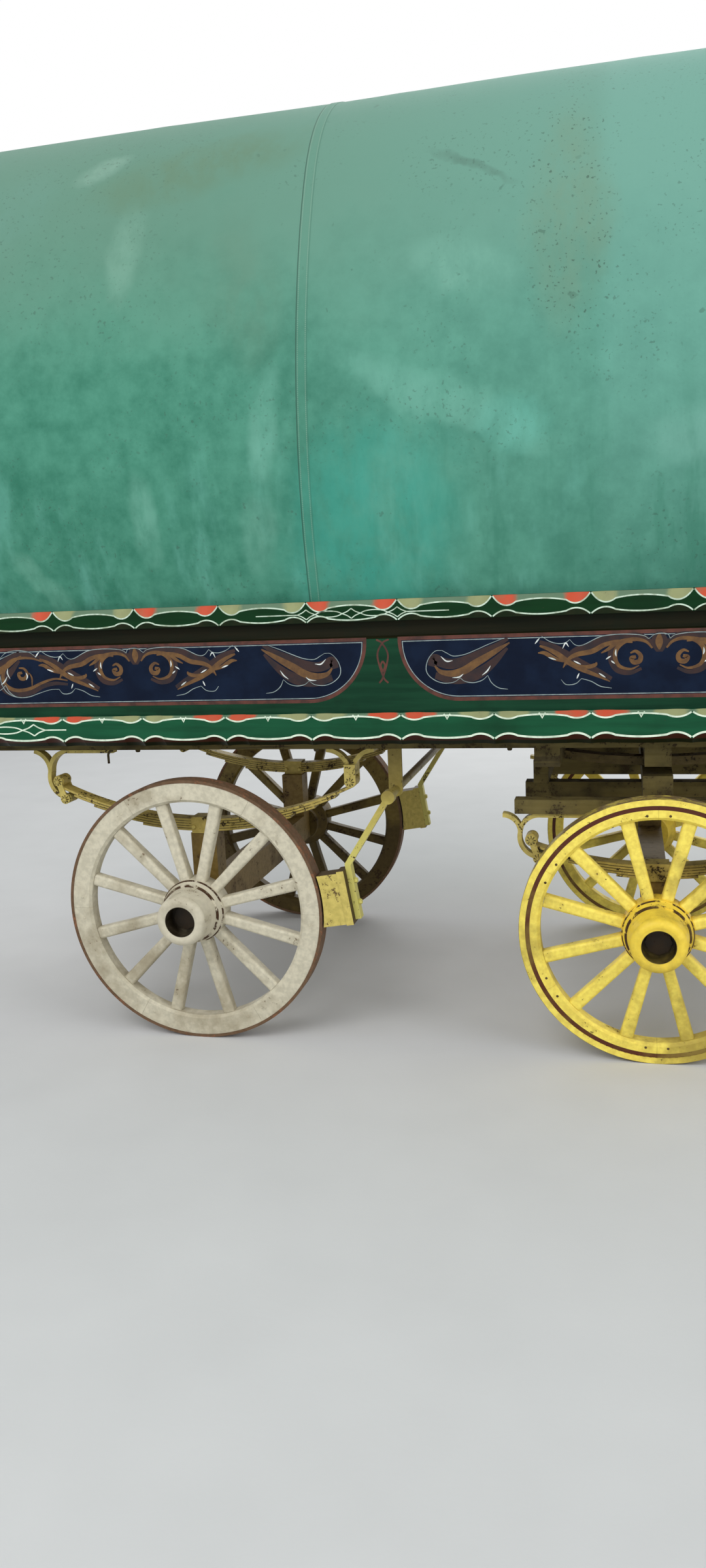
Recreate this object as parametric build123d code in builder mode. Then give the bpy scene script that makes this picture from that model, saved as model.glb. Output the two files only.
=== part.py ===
from build123d import *
from math import asin, atan2, cos, degrees, hypot, radians, sin, sqrt
import os

# A bow-top living wagon on a flat four-wheeled dray: small wheels wholly under the floor, a low
# planked side between two chamfered rails, and a canvas roof stretched over bent hoops. Lengths are
# in millimetres. +X points forwards, +Z up, and the origin is on the ground midway between the tail
# of the body and the tips of the shafts.

os.makedirs("parts", exist_ok=True)

# Body
body_length = 3250
half_width = 710
sill_z = 1007
sill_height = 100
sill_thick = 60
plank_height = 228
plank_inset = 20
board_thick = 22
board_step = 21
top_rail_z = 1390
top_rail_height = 65
top_rail_thick = 34
floor_thick = 22
seat = 0.3

# Stopped chamfers on the rails, in bays between cusps. Each row is one worked edge: how far the
# chamfer comes down the face at a cusp, at the lobes beside it and at the waist of the bay, and
# its angle off the upright.
bay_pitch = 287
bay_count = 10
first_bay = 245
cusp_flat = 4
lobe_share = 0.24
top_rail_upper = {"cusp": 0, "lobe": 26, "waist": 11, "lean": 32}
top_rail_lower = {"cusp": 1, "lobe": 17, "waist": 4, "lean": 40}
sill_upper = {"cusp": 4, "lobe": 17, "waist": 6, "lean": 45}
sill_lower = {"cusp": 12, "lobe": 27, "waist": 21, "lean": 45}

# Roof
canvas_thick = 6
canvas_tuck = 30
arch_radius = 660
arch_z = 2410
arch_neck_angle = 26
bow_count = 5
bow_width = 38
bow_depth = 20
bow_end_inset = 60
stringer_width = 45
stringer_depth = 16
stringer_angles = (0, 38, -38)

# Chassis
beam_y = 545
beam_width = 75
beam_z = 975
bearer_count = 6
bearer_width = 70

# End walls, doors and the footboard
end_wall_thick = 26
porch_depth = 400
tail_inset = 20
door_width = 720
door_head_gap = 200
door_sill_height = 40
door_thick = 28
door_gap = 5
meeting_gap = 7
door_stile = 62
door_sinking = 9
lock_rail_share = 0.45
hinge_radius = 6
hinge_length = 90
hinge_pin_radius = 3
hinge_end = 22
hinge_inset = 180
rear_light = (560, 430)
rear_light_z = 1760
glass_thick = 4
frame_width = 45
footboard_reach = 250
footboard_thick = 30
footboard_width = 1180

# Wheels and axles
wheelbase = 1502
rear_axle_back = 677
tyre_width = 63
rear_rim_radius = 437.4
rear_felloe_depth = 65
rear_tyre_thick = 10
front_rim_radius = 400
front_felloe_depth = 45
front_tyre_thick = 20
felloe_width = 60
felloe_chamfer = 9
felloe_count = 6
felloe_kerf = 0.6
rear_felloe_turn = 30
front_felloe_turn = 0
spoke_count = 12
spoke_width = 42
nave_belt_radius = 108
nave_nose = 122
nave_back = 130
nave_mouth = 50
nave_mouth_depth = 60
arm_radius = 30
arm_clearance = 0.3
collar_radius = 40
collar_thick = 9
axle_bed_width = 90
axle_bed_height = 110

# Springs: half length along the leaf and number of leaves
spring_width = 54
leaf_thick = 8
leaf_slit = 0.5
rear_spring_half = 550
rear_spring_rise = 128
rear_spring_top_z = 733
rear_leaf_steps = (0, 70, 150, 240, 335)
front_spring_half = 400
front_spring_rise = 70
front_spring_top_z = 597
front_leaf_steps = (0, 60, 130, 205, 280)
eye_radius = 20
eye_bore = 9
buckle_length = 76
scroll_width = 14
scroll_depth = 34
shackle_offset = (22, -63)
shackle_thick = 6
spring_pin_radius = 8.7

# Turntable and fore-carriage
bed_timber_width = 80
bed_timber_height = 60
bed_timber_spacing = 335
ring_outer = 400
ring_width = 50
ring_thick = 14
ring_gap = 0.3
king_pin_radius = 16
carriage_bolster_width = 90
carriage_bolster_height = 80
carriage_half = 590
spring_bar_half = 440
spring_bar_height = 46
futchell_y = 245
futchell_width = 58
futchell_height = 66
futchell_front = 500
futchell_back = 430

# Shafts
shaft_length = 2150
shaft_y = 300
shaft_radius = 24
shaft_butt_depth = 66
shaft_chamfer = 9
shaft_bow = 60
shaft_pin_radius = 11
shaft_pin_half = 338
shaft_eye_radius = 26
shaft_eye_width = 36
shaft_start = 45
strap_length = 155
strap_thick = 5
strap_depth = 30
cross_bar_ahead = 190
cross_bar_width = 50
cross_bar_depth = 34
cross_bar_rise = 18
swingletree_bore = 8

# Brake: places are measured from the rear axle, forwards and up from the ground
brake_gap = 6
block_length = 172
block_drop = 18
brake_pivot = (674, 834)
lever_bend = (533, 612)
lever_lean = 9
lever_arm = 184
lever_inset = 45
lever_thick = 19
lever_width = 34
brake_shaft_radius = 14
brake_plate_width = 46
brake_plate_thick = 10

# Levels and places that follow from the sizes above
sill_top_z = sill_z + sill_height
floor_z = sill_top_z
bearer_top_z = floor_z - floor_thick
plank_top_z = sill_top_z + plank_height
top_rail_top_z = top_rail_z + top_rail_height
rail_inner = half_width - top_rail_thick
canvas_foot = rail_inner - seat
board_outer = canvas_foot - canvas_thick - seat
board_inner = board_outer - board_thick
plank_outer = half_width - plank_inset
bow_outer = canvas_thick + seat
upper_ring_z = beam_z - bed_timber_height - ring_thick
lower_ring_z = upper_ring_z - ring_gap - ring_thick
carriage_bolster_z = lower_ring_z - carriage_bolster_height
shaft_pin_z = carriage_bolster_z - futchell_height / 2
shaft_drop = asin((shaft_pin_z - shaft_radius) / shaft_length)
front_axle_ahead = wheelbase - rear_axle_back
shaft_reach = shaft_length * cos(shaft_drop) + shaft_radius
overall_length = body_length / 2 + front_axle_ahead + futchell_front + shaft_reach
body_x = body_length / 2 - overall_length / 2
tail_x = body_x - body_length / 2
nose_x = body_x + body_length / 2
rear_axle_x = body_x - rear_axle_back
front_axle_x = rear_axle_x + wheelbase
rear_wheel_radius = rear_rim_radius + rear_tyre_thick
front_wheel_radius = front_rim_radius + front_tyre_thick
lever_y = half_width - lever_inset


def block(x_range, y_range, z_range, mode=Mode.ADD):
    """A squared timber between two x, two y and two z."""
    centre = [(low + high) / 2 for low, high in (x_range, y_range, z_range)]
    size = [high - low for low, high in (x_range, y_range, z_range)]
    with Locations(tuple(centre)):
        Box(*size, mode=mode)


def finish(piece, name):
    """Labels a finished piece and writes it as its own node."""
    piece.part.label = name
    export_step(piece.part, f"parts/{name}.step")


def side_plane(y):
    """The plane along the wagon at y, seen with +X to the right and +Z up."""
    return Plane(origin=(0, y, 0), x_dir=(1, 0, 0), z_dir=(0, -1, 0))


# Chassis: two long beams over the springs and cross bearers halved through them
with BuildPart() as chassis_frame:
    for side in (-1, 1):
        block(
            (tail_x, nose_x),
            (side * beam_y - beam_width / 2, side * beam_y + beam_width / 2),
            (beam_z, bearer_top_z),
        )
    bearer_pitch = (body_length - bearer_width) / (bearer_count - 1)
    for index in range(bearer_count):
        start = tail_x + index * bearer_pitch
        reach = half_width - sill_thick
        block((start, start + bearer_width), (-reach, reach), (sill_z, bearer_top_z))
finish(chassis_frame, "chassis_frame")

# Floor boards, laid lengthways and let in between the side rails
with BuildPart() as floor_boards:
    reach = half_width - sill_thick
    block((tail_x, nose_x), (-reach, reach), (bearer_top_z, floor_z))
finish(floor_boards, "floor_boards")


def chamfer_cuts(edge_y, edge_z, upper, rule):
    """The wood cut away along one outer edge of a rail, as one solid. Every bay is an outline in the
    plane square to the chamfer, where two lobes by the cusps run on into a shallower waist."""
    lean = radians(rule["lean"])
    upward = 1 if upper else -1
    plane = Plane(origin=(0, edge_y, edge_z), x_dir=(1, 0, 0), z_dir=(0, -sin(lean) * upward, cos(lean)))
    cusp, lobe, waist = (rule[key] * sin(lean) for key in ("cusp", "lobe", "waist"))
    starts = [tail_x + first_bay + index * bay_pitch for index in range(-1, bay_count + 1)]
    with BuildSketch(plane) as cuts:
        for start in starts:
            left = max(start, tail_x) + cusp_flat / 2
            right = min(start + bay_pitch, nose_x) - cusp_flat / 2
            swell = lobe_share * (right - left)
            joint = (lobe + waist) / 2
            with BuildLine():
                Polyline((left, -cusp * upward), (left, upward), (right, upward), (right, -cusp * upward))
                ThreePointArc(
                    (left, -cusp * upward), (left + 0.42 * swell, -lobe * upward), (left + swell, -joint * upward)
                )
                ThreePointArc(
                    (left + swell, -joint * upward), ((left + right) / 2, -waist * upward), (right - swell, -joint * upward)
                )
                ThreePointArc(
                    (right - swell, -joint * upward), (right - 0.42 * swell, -lobe * upward), (right, -cusp * upward)
                )
            make_face()
    return extrude(cuts.sketch, amount=2 * sill_thick, both=True, mode=Mode.PRIVATE)


def chamfered_rail(name, thick, low_z, high_z, upper_rule, lower_rule):
    """A squared rail along each side with both outer edges worked."""
    with BuildPart() as rails:
        block((tail_x, nose_x), (half_width - thick, half_width), (low_z, high_z))
        add(chamfer_cuts(half_width, high_z, True, upper_rule), mode=Mode.SUBTRACT)
        add(chamfer_cuts(half_width, low_z, False, lower_rule), mode=Mode.SUBTRACT)
        mirror(about=Plane.XZ)
    finish(rails, name)


# Bottom rails, deep side timbers that hold the floor's edge, and top rails, nailed over the lower
# edge of the canvas
chamfered_rail("bottom_rails", sill_thick, sill_z, sill_top_z, sill_upper, sill_lower)
chamfered_rail("top_rails", top_rail_thick, top_rail_z, top_rail_top_z, top_rail_upper, top_rail_lower)

# Side boards: a thick painted plank below and a thinner ledge board above it, in one section
with BuildPart() as side_boards:
    with BuildSketch(Plane.YZ.offset(tail_x)):
        with BuildLine():
            Polyline(
                (board_inner, sill_top_z),
                (plank_outer, sill_top_z),
                (plank_outer, plank_top_z),
                (board_outer, plank_top_z + board_step * 0.4),
                (board_outer, top_rail_top_z),
                (board_inner, top_rail_top_z),
                close=True,
            )
        make_face()
        mirror(about=Plane.YZ)
    extrude(amount=body_length)
finish(side_boards, "side_boards")


def hoop_half(inset, foot_z):
    """Half of the roof's outline in a cross section, moved inwards by inset. It stands upright
    behind the rail, swells in a long side arc and runs on, in line, into the round arch overhead."""
    neck = radians(arch_neck_angle)
    along = (cos(neck), sin(neck))
    foot = (canvas_foot, top_rail_top_z)
    chord = (foot[0] - arch_radius * along[0], foot[1] - arch_z - arch_radius * along[1])
    side_radius = -(chord[0] ** 2 + chord[1] ** 2) / (2 * (chord[0] * along[0] + chord[1] * along[1]))
    centre = ((arch_radius - side_radius) * along[0], arch_z + (arch_radius - side_radius) * along[1])
    side_start = degrees(atan2(foot[1] - centre[1], foot[0] - centre[0]))
    side = CenterArc(centre, side_radius - inset, side_start, arch_neck_angle - side_start)
    CenterArc((0, arch_z), arch_radius - inset, arch_neck_angle, 90 - arch_neck_angle)
    if foot_z < (side @ 0).Y:
        Line(((side @ 0).X, foot_z), side @ 0)
    return side @ 0


def roof_band(outer_inset, inner_inset, foot_z):
    """The closed band between two insets of the roof's outline, as a flat face."""
    with BuildSketch() as band:
        with BuildLine():
            outer = hoop_half(outer_inset, foot_z)
            inner = hoop_half(inner_inset, foot_z)
            Line((outer.X, min(foot_z, outer.Y)), (inner.X, min(foot_z, inner.Y)))
            Line((0, arch_z + arch_radius - outer_inset), (0, arch_z + arch_radius - inner_inset))
        make_face()
        mirror(about=Plane.YZ)
    return band.sketch


# Canvas: one sheet over the hoops from rail to rail, its edges tucked behind the top rails
with BuildPart() as canvas:
    with BuildSketch(Plane.YZ.offset(tail_x)):
        add(roof_band(0, canvas_thick, top_rail_top_z - canvas_tuck))
    extrude(amount=body_length)
finish(canvas, "canvas")


def stringer_ends(clearance):
    """The cut ends of the ridge and the purlins, let halfway into the bows, as flat faces."""
    stringer_radius = arch_radius - bow_outer - bow_depth
    with BuildSketch() as ends:
        for angle in stringer_angles:
            lean = radians(angle)
            with Locations((stringer_radius * sin(lean), arch_z + stringer_radius * cos(lean))):
                Rectangle(stringer_width + 2 * clearance, stringer_depth + 2 * clearance, rotation=-angle)
    return ends.sketch


# Bows and stringers: ash hoops bent over the wagon, their feet on the ledge boards, with the ridge
# and two purlins screwed under them
bow_pitch = (body_length - 2 * bow_end_inset - bow_width) / (bow_count - 1)
with BuildPart() as roof_bows:
    for index in range(bow_count):
        start = tail_x + bow_end_inset + index * bow_pitch
        with BuildSketch(Plane.YZ.offset(start)):
            add(roof_band(bow_outer, bow_outer + bow_depth, top_rail_top_z + 1))
        extrude(amount=bow_width)
    with BuildSketch(Plane.YZ.offset(tail_x + bow_end_inset)):
        add(stringer_ends(0))
    extrude(amount=body_length - 2 * bow_end_inset)
finish(roof_bows, "roof_bows")


def end_wall(name, face_x, cut_width, cut_height, cut_z, notched):
    """A boarded end wall that fills the roof's outline down to the floor, with one opening. It is
    notched where the stringers run through it."""
    wall_inset = canvas_thick + 2 * seat
    with BuildPart() as wall:
        with BuildSketch(Plane.YZ.offset(face_x)):
            with BuildLine():
                corner = hoop_half(wall_inset, top_rail_top_z + seat)
                Polyline(
                    corner,
                    (corner.X, top_rail_top_z + seat),
                    (board_inner - seat, top_rail_top_z + seat),
                    (board_inner - seat, floor_z),
                    (0, floor_z),
                    (0, arch_z + arch_radius - wall_inset),
                )
            make_face()
            mirror(about=Plane.YZ)
            with Locations((0, cut_z + cut_height / 2)):
                Rectangle(cut_width, cut_height, mode=Mode.SUBTRACT)
            if notched:
                add(stringer_ends(seat), mode=Mode.SUBTRACT)
        extrude(amount=end_wall_thick)
    finish(wall, name)


# Front wall, set back behind the porch, and rear wall with its window
front_wall_x = nose_x - porch_depth - end_wall_thick
rear_wall_x = tail_x + tail_inset
door_sill_z = floor_z + door_sill_height
door_head_z = arch_z + sqrt((arch_radius - door_head_gap) ** 2 - (door_width / 2) ** 2)
door_height = door_head_z - door_sill_z
end_wall("front_wall", front_wall_x, door_width, door_height, door_sill_z, True)
end_wall("rear_wall", rear_wall_x, rear_light[0], rear_light[1], rear_light_z, False)

# Rear window: a frame planted on the outside of the wall, and its pane with one glazing bar
with BuildPart() as rear_window_frame:
    outer_x = rear_wall_x - end_wall_thick / 2
    with BuildSketch(Plane.YZ.offset(outer_x)):
        with Locations((0, rear_light_z + rear_light[1] / 2)):
            Rectangle(rear_light[0] + 2 * frame_width, rear_light[1] + 2 * frame_width)
            Rectangle(rear_light[0] - 10, rear_light[1] - 10, mode=Mode.SUBTRACT)
            Rectangle(22, rear_light[1])
    extrude(amount=end_wall_thick / 2)
finish(rear_window_frame, "rear_window_frame")

with BuildPart() as rear_window_glass:
    block(
        (rear_wall_x, rear_wall_x + glass_thick),
        (-rear_light[0] / 2 + seat, rear_light[0] / 2 - seat),
        (rear_light_z + seat, rear_light_z + rear_light[1] - seat),
    )
finish(rear_window_glass, "rear_window_glass")

# Doors: two leaves with an upper and a lower sunk panel, hung to open over the footboard
leaf_bottom = door_sill_z + door_gap
leaf_top = door_sill_z + door_height - door_gap
door_face_x = front_wall_x + end_wall_thick
lock_rail_z = leaf_bottom + door_height * lock_rail_share
hinge_heights = (leaf_bottom + hinge_inset, leaf_top - hinge_inset)
for name, side in (("right", -1), ("left", 1)):
    inner_y = side * meeting_gap / 2
    outer_y = side * (door_width / 2 - door_gap)
    panel_width = abs(outer_y - inner_y) - 2 * door_stile
    with BuildPart() as leaf:
        block(
            (door_face_x - door_thick, door_face_x),
            tuple(sorted((inner_y, outer_y))),
            (leaf_bottom, leaf_top),
        )
        for low, high in ((leaf_bottom, lock_rail_z), (lock_rail_z, leaf_top)):
            with BuildSketch(Plane.YZ.offset(door_face_x)):
                with Locations(((inner_y + outer_y) / 2, (low + high) / 2)):
                    Rectangle(panel_width, high - low - 2 * door_stile)
            extrude(amount=-door_sinking, taper=25, mode=Mode.SUBTRACT)
        for height in hinge_heights:
            with Locations((door_face_x + hinge_radius, outer_y, height)):
                Cylinder(hinge_radius, hinge_length)
            with Locations((door_face_x + 1.5, outer_y - side * 25, height)):
                Box(3, 50, hinge_length)
            with Locations((door_face_x + hinge_radius, outer_y, height)):
                Cylinder(hinge_pin_radius + seat, hinge_length, mode=Mode.SUBTRACT)
    finish(leaf, f"door_{name}")

# Door hinges: a flap on the wall whose two end knuckles hold the pin on which the leaf turns
with BuildPart() as door_hinges:
    hinge_y = door_width / 2 - door_gap
    flap_height = hinge_length + 2 * hinge_end
    for side in (-1, 1):
        for height in hinge_heights:
            with Locations((door_face_x + 2, side * (hinge_y + 28), height)):
                Box(4 - 2 * seat, 40, flap_height)
            for end in (-1, 1):
                knuckle_z = height + end * (hinge_length + hinge_end + 2) / 2
                with Locations((door_face_x + hinge_radius, side * hinge_y, knuckle_z)):
                    Cylinder(hinge_radius - seat, hinge_end - 2)
                with Locations((door_face_x + 2, side * (hinge_y + 6), knuckle_z)):
                    Box(4 - 2 * seat, 14, hinge_end - 2)
            with Locations((door_face_x + hinge_radius, side * hinge_y, height)):
                Cylinder(hinge_pin_radius, flap_height)
finish(door_hinges, "door_hinges")

# Footboard ahead of the porch, on two iron brackets bolted to the beams' ends
with BuildPart() as footboard:
    block(
        (nose_x + seat, nose_x + footboard_reach),
        (-footboard_width / 2, footboard_width / 2),
        (bearer_top_z, bearer_top_z + footboard_thick),
    )
    fillet(footboard.edges().filter_by(Axis.Z).group_by(Axis.X)[-1], radius=60)
finish(footboard, "footboard")

with BuildPart() as footboard_brackets:
    for side in (-1, 1):
        with BuildSketch(side_plane(side * beam_y)):
            with BuildLine():
                Polyline(
                    (nose_x - 160, beam_z - 6),
                    (nose_x + 40, beam_z - 6),
                    (nose_x + footboard_reach - 50, bearer_top_z - 6),
                )
            trace(line_width=12 - 2 * seat)
        extrude(amount=20, both=True)
finish(footboard_brackets, "footboard_brackets")


def leaf_spring(name, centre_x, centre_z, half_span, rise, steps):
    """Two semi-elliptic springs, right and left. The leaves are concentric arcs with a slit between
    them, each shorter than the one above, held by a buckle. Returns the eyes' height."""
    radius = (half_span**2 + rise**2) / (2 * rise)
    middle_z = centre_z + radius
    with BuildPart() as springs:
        for side in (-1, 1):
            plane = side_plane(side * beam_y)
            for index, step in enumerate(steps):
                upper = radius + index * (leaf_thick + leaf_slit)
                lower = upper + leaf_thick
                half_angle = degrees((half_span - step) / radius)
                with BuildSketch(plane):
                    with BuildLine():
                        top = CenterArc((centre_x, middle_z), upper, 270 - half_angle, 2 * half_angle)
                        low = CenterArc((centre_x, middle_z), lower, 270 - half_angle, 2 * half_angle)
                        Line(top @ 0, low @ 0)
                        Line(top @ 1, low @ 1)
                    make_face()
                extrude(amount=spring_width / 2, both=True)
            stack = len(steps) * (leaf_thick + leaf_slit)
            block(
                (centre_x - buckle_length / 2, centre_x + buckle_length / 2),
                (side * beam_y - spring_width / 2 - 6, side * beam_y + spring_width / 2 + 6),
                (centre_z - stack - 6, centre_z + 8),
            )
            end_angle = half_span / radius
            for end in (-1, 1):
                eye_x = centre_x + end * (radius - eye_radius + leaf_thick) * sin(end_angle)
                eye_z = middle_z - (radius - eye_radius + leaf_thick) * cos(end_angle)
                with BuildSketch(plane):
                    with Locations((eye_x, eye_z)):
                        Circle(eye_radius)
                extrude(amount=spring_width / 2, both=True)
                with BuildSketch(plane):
                    with Locations((eye_x, eye_z)):
                        Circle(eye_bore)
                extrude(amount=spring_width, both=True, mode=Mode.SUBTRACT)
    finish(springs, name)
    return eye_x - centre_x, eye_z, centre_z - stack - 6


rear_eye_reach, rear_eye_z, rear_seat_z = leaf_spring(
    "rear_springs", rear_axle_x, rear_spring_top_z, rear_spring_half, rear_spring_rise, rear_leaf_steps
)
front_eye_reach, front_eye_z, front_seat_z = leaf_spring(
    "front_springs", front_axle_x, front_spring_top_z, front_spring_half, front_spring_rise, front_leaf_steps
)


def shackle_scale(rise):
    """Low hangers get a shorter shackle, so that it stays above the leaves' clamp."""
    return min(1, rise / 90)


def bar(plane, points, width):
    """A flat iron of one width bent along straight runs, as deep as the scroll irons."""
    with BuildSketch(plane) as outline:
        with BuildLine():
            Polyline(*points)
        trace(line_width=width)
    return extrude(outline.sketch, amount=scroll_depth / 2, both=True, mode=Mode.PRIVATE)


def scroll(plane, start, middle, end):
    """A scroll iron bent to one arc through three points."""
    with BuildSketch(plane) as outline:
        with BuildLine():
            ThreePointArc(start, middle, end)
        trace(line_width=scroll_width)
    return extrude(outline.sketch, amount=scroll_depth / 2, both=True, mode=Mode.PRIVATE)


def disc(plane, centre, radius, half_depth):
    """A round boss or pin across the wagon, about a point of its side plane."""
    with BuildSketch(plane) as outline:
        with Locations(centre):
            Circle(radius)
    return extrude(outline.sketch, amount=half_depth, both=True, mode=Mode.PRIVATE)


def spring_irons(name, centre_x, eye_reach, eye_z, foot_z):
    """The irons that hang both springs from the timbers above. The front eye is held in a clevis
    under two spreading arms. The tail eye rides on a shackle, whose lower pin sits in a scroll iron
    that passes behind the eye and parts into two arms, the inner one with a long foot."""
    rise = foot_z - eye_z
    plate_y = spring_width / 2 + seat
    with BuildPart() as irons:
        for side in (-1, 1):
            plane = side_plane(side * beam_y)
            front_x = centre_x + eye_reach
            for lean in (-1, 1):
                add(
                    scroll(
                        plane,
                        (front_x + lean * 0.72 * rise, foot_z - scroll_width / 2),
                        (front_x + lean * 0.3 * rise, foot_z - 0.22 * rise),
                        (front_x + lean * 0.08 * rise, eye_z + 0.45 * rise),
                    )
                )
            for offset in (-plate_y - shackle_thick / 2, plate_y + shackle_thick / 2):
                with BuildSketch(side_plane(side * beam_y + offset)):
                    with Locations((front_x, eye_z)):
                        Circle(eye_radius - 1)
                    with Locations((front_x, eye_z + 0.26 * rise)):
                        Rectangle(2 * eye_radius - 2, 0.52 * rise)
                extrude(amount=shackle_thick / 2, both=True)
            block(
                (front_x - eye_radius + 1, front_x + eye_radius - 1),
                (side * beam_y - plate_y - shackle_thick, side * beam_y + plate_y + shackle_thick),
                (eye_z + eye_radius + 3, eye_z + 0.52 * rise),
            )
            add(disc(plane, (front_x, eye_z), spring_pin_radius, plate_y + shackle_thick + 8))

            tail_eye_x = centre_x - eye_reach
            pin = (tail_eye_x + shackle_offset[0], eye_z + shackle_offset[1] * shackle_scale(rise))
            fork = (tail_eye_x - 36, eye_z + 0.28 * rise)
            add(scroll(plane, pin, (tail_eye_x - 27, (pin[1] + eye_z) / 2), fork))
            add(scroll(plane, fork, (fork[0] - 14, foot_z - 0.3 * rise), (fork[0] - 55, foot_z - 7)))
            foot_bend = (fork[0] + 68, foot_z - scroll_width / 2)
            add(scroll(plane, fork, (fork[0] + 17, foot_z - 0.3 * rise), foot_bend))
            add(bar(plane, (foot_bend, (foot_bend[0] + 1.6 * rise, foot_bend[1])), scroll_width))
            add(disc(plane, pin, eye_radius - 3, scroll_depth / 2))
            lean_angle = degrees(atan2(pin[1] - eye_z, pin[0] - tail_eye_x))
            link = hypot(pin[0] - tail_eye_x, pin[1] - eye_z)
            for offset in (-plate_y - shackle_thick / 2, plate_y + shackle_thick / 2):
                with BuildSketch(side_plane(side * beam_y + offset)):
                    with Locations((tail_eye_x, eye_z), pin):
                        Circle(eye_radius - 3)
                    with Locations(((tail_eye_x + pin[0]) / 2, (eye_z + pin[1]) / 2)):
                        Rectangle(link, eye_radius, rotation=lean_angle)
                extrude(amount=shackle_thick / 2, both=True)
            for centre in ((tail_eye_x, eye_z), pin):
                add(disc(plane, centre, spring_pin_radius, plate_y + shackle_thick + 8))
        block(
            (centre_x - 2 * eye_reach, centre_x + 2 * eye_reach),
            (-half_width, half_width),
            (foot_z - seat, foot_z + scroll_width),
            mode=Mode.SUBTRACT,
        )
    finish(irons, name)


def axle(name, centre_x, centre_z, seat_z):
    """A timber bed under the springs with a round iron arm let into each end."""
    with BuildPart() as bed:
        reach = half_width - nave_back - 8
        block(
            (centre_x - axle_bed_width / 2, centre_x + axle_bed_width / 2),
            (-reach, reach),
            (centre_z - axle_bed_height / 2, centre_z + axle_bed_height / 2),
        )
        for side in (-1, 1):
            pad_ends = (side * (beam_y - spring_width), side * reach)
            block(
                (centre_x - axle_bed_width / 2, centre_x + axle_bed_width / 2),
                (min(pad_ends), max(pad_ends)),
                (centre_z, seat_z),
            )
            with BuildSketch(side_plane(side * (reach - 20))):
                with Locations((centre_x, centre_z)):
                    Circle(arm_radius)
            extrude(amount=-side * (nave_back + 28 + nave_nose - nave_mouth_depth + collar_thick))
            collar_y = half_width + nave_nose - nave_mouth_depth + 1
            with BuildSketch(side_plane(side * collar_y)):
                with Locations((centre_x, centre_z)):
                    RegularPolygon(collar_radius, 8)
            extrude(amount=-side * collar_thick)
    finish(bed, name)


axle("rear_axle", rear_axle_x, rear_wheel_radius, rear_seat_z)
axle("front_axle", front_axle_x, front_wheel_radius, front_seat_z)
spring_irons("rear_spring_irons", rear_axle_x, rear_eye_reach, rear_eye_z, beam_z)
spring_irons(
    "front_spring_irons", front_axle_x, front_eye_reach, front_eye_z, carriage_bolster_z - spring_bar_height
)


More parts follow.
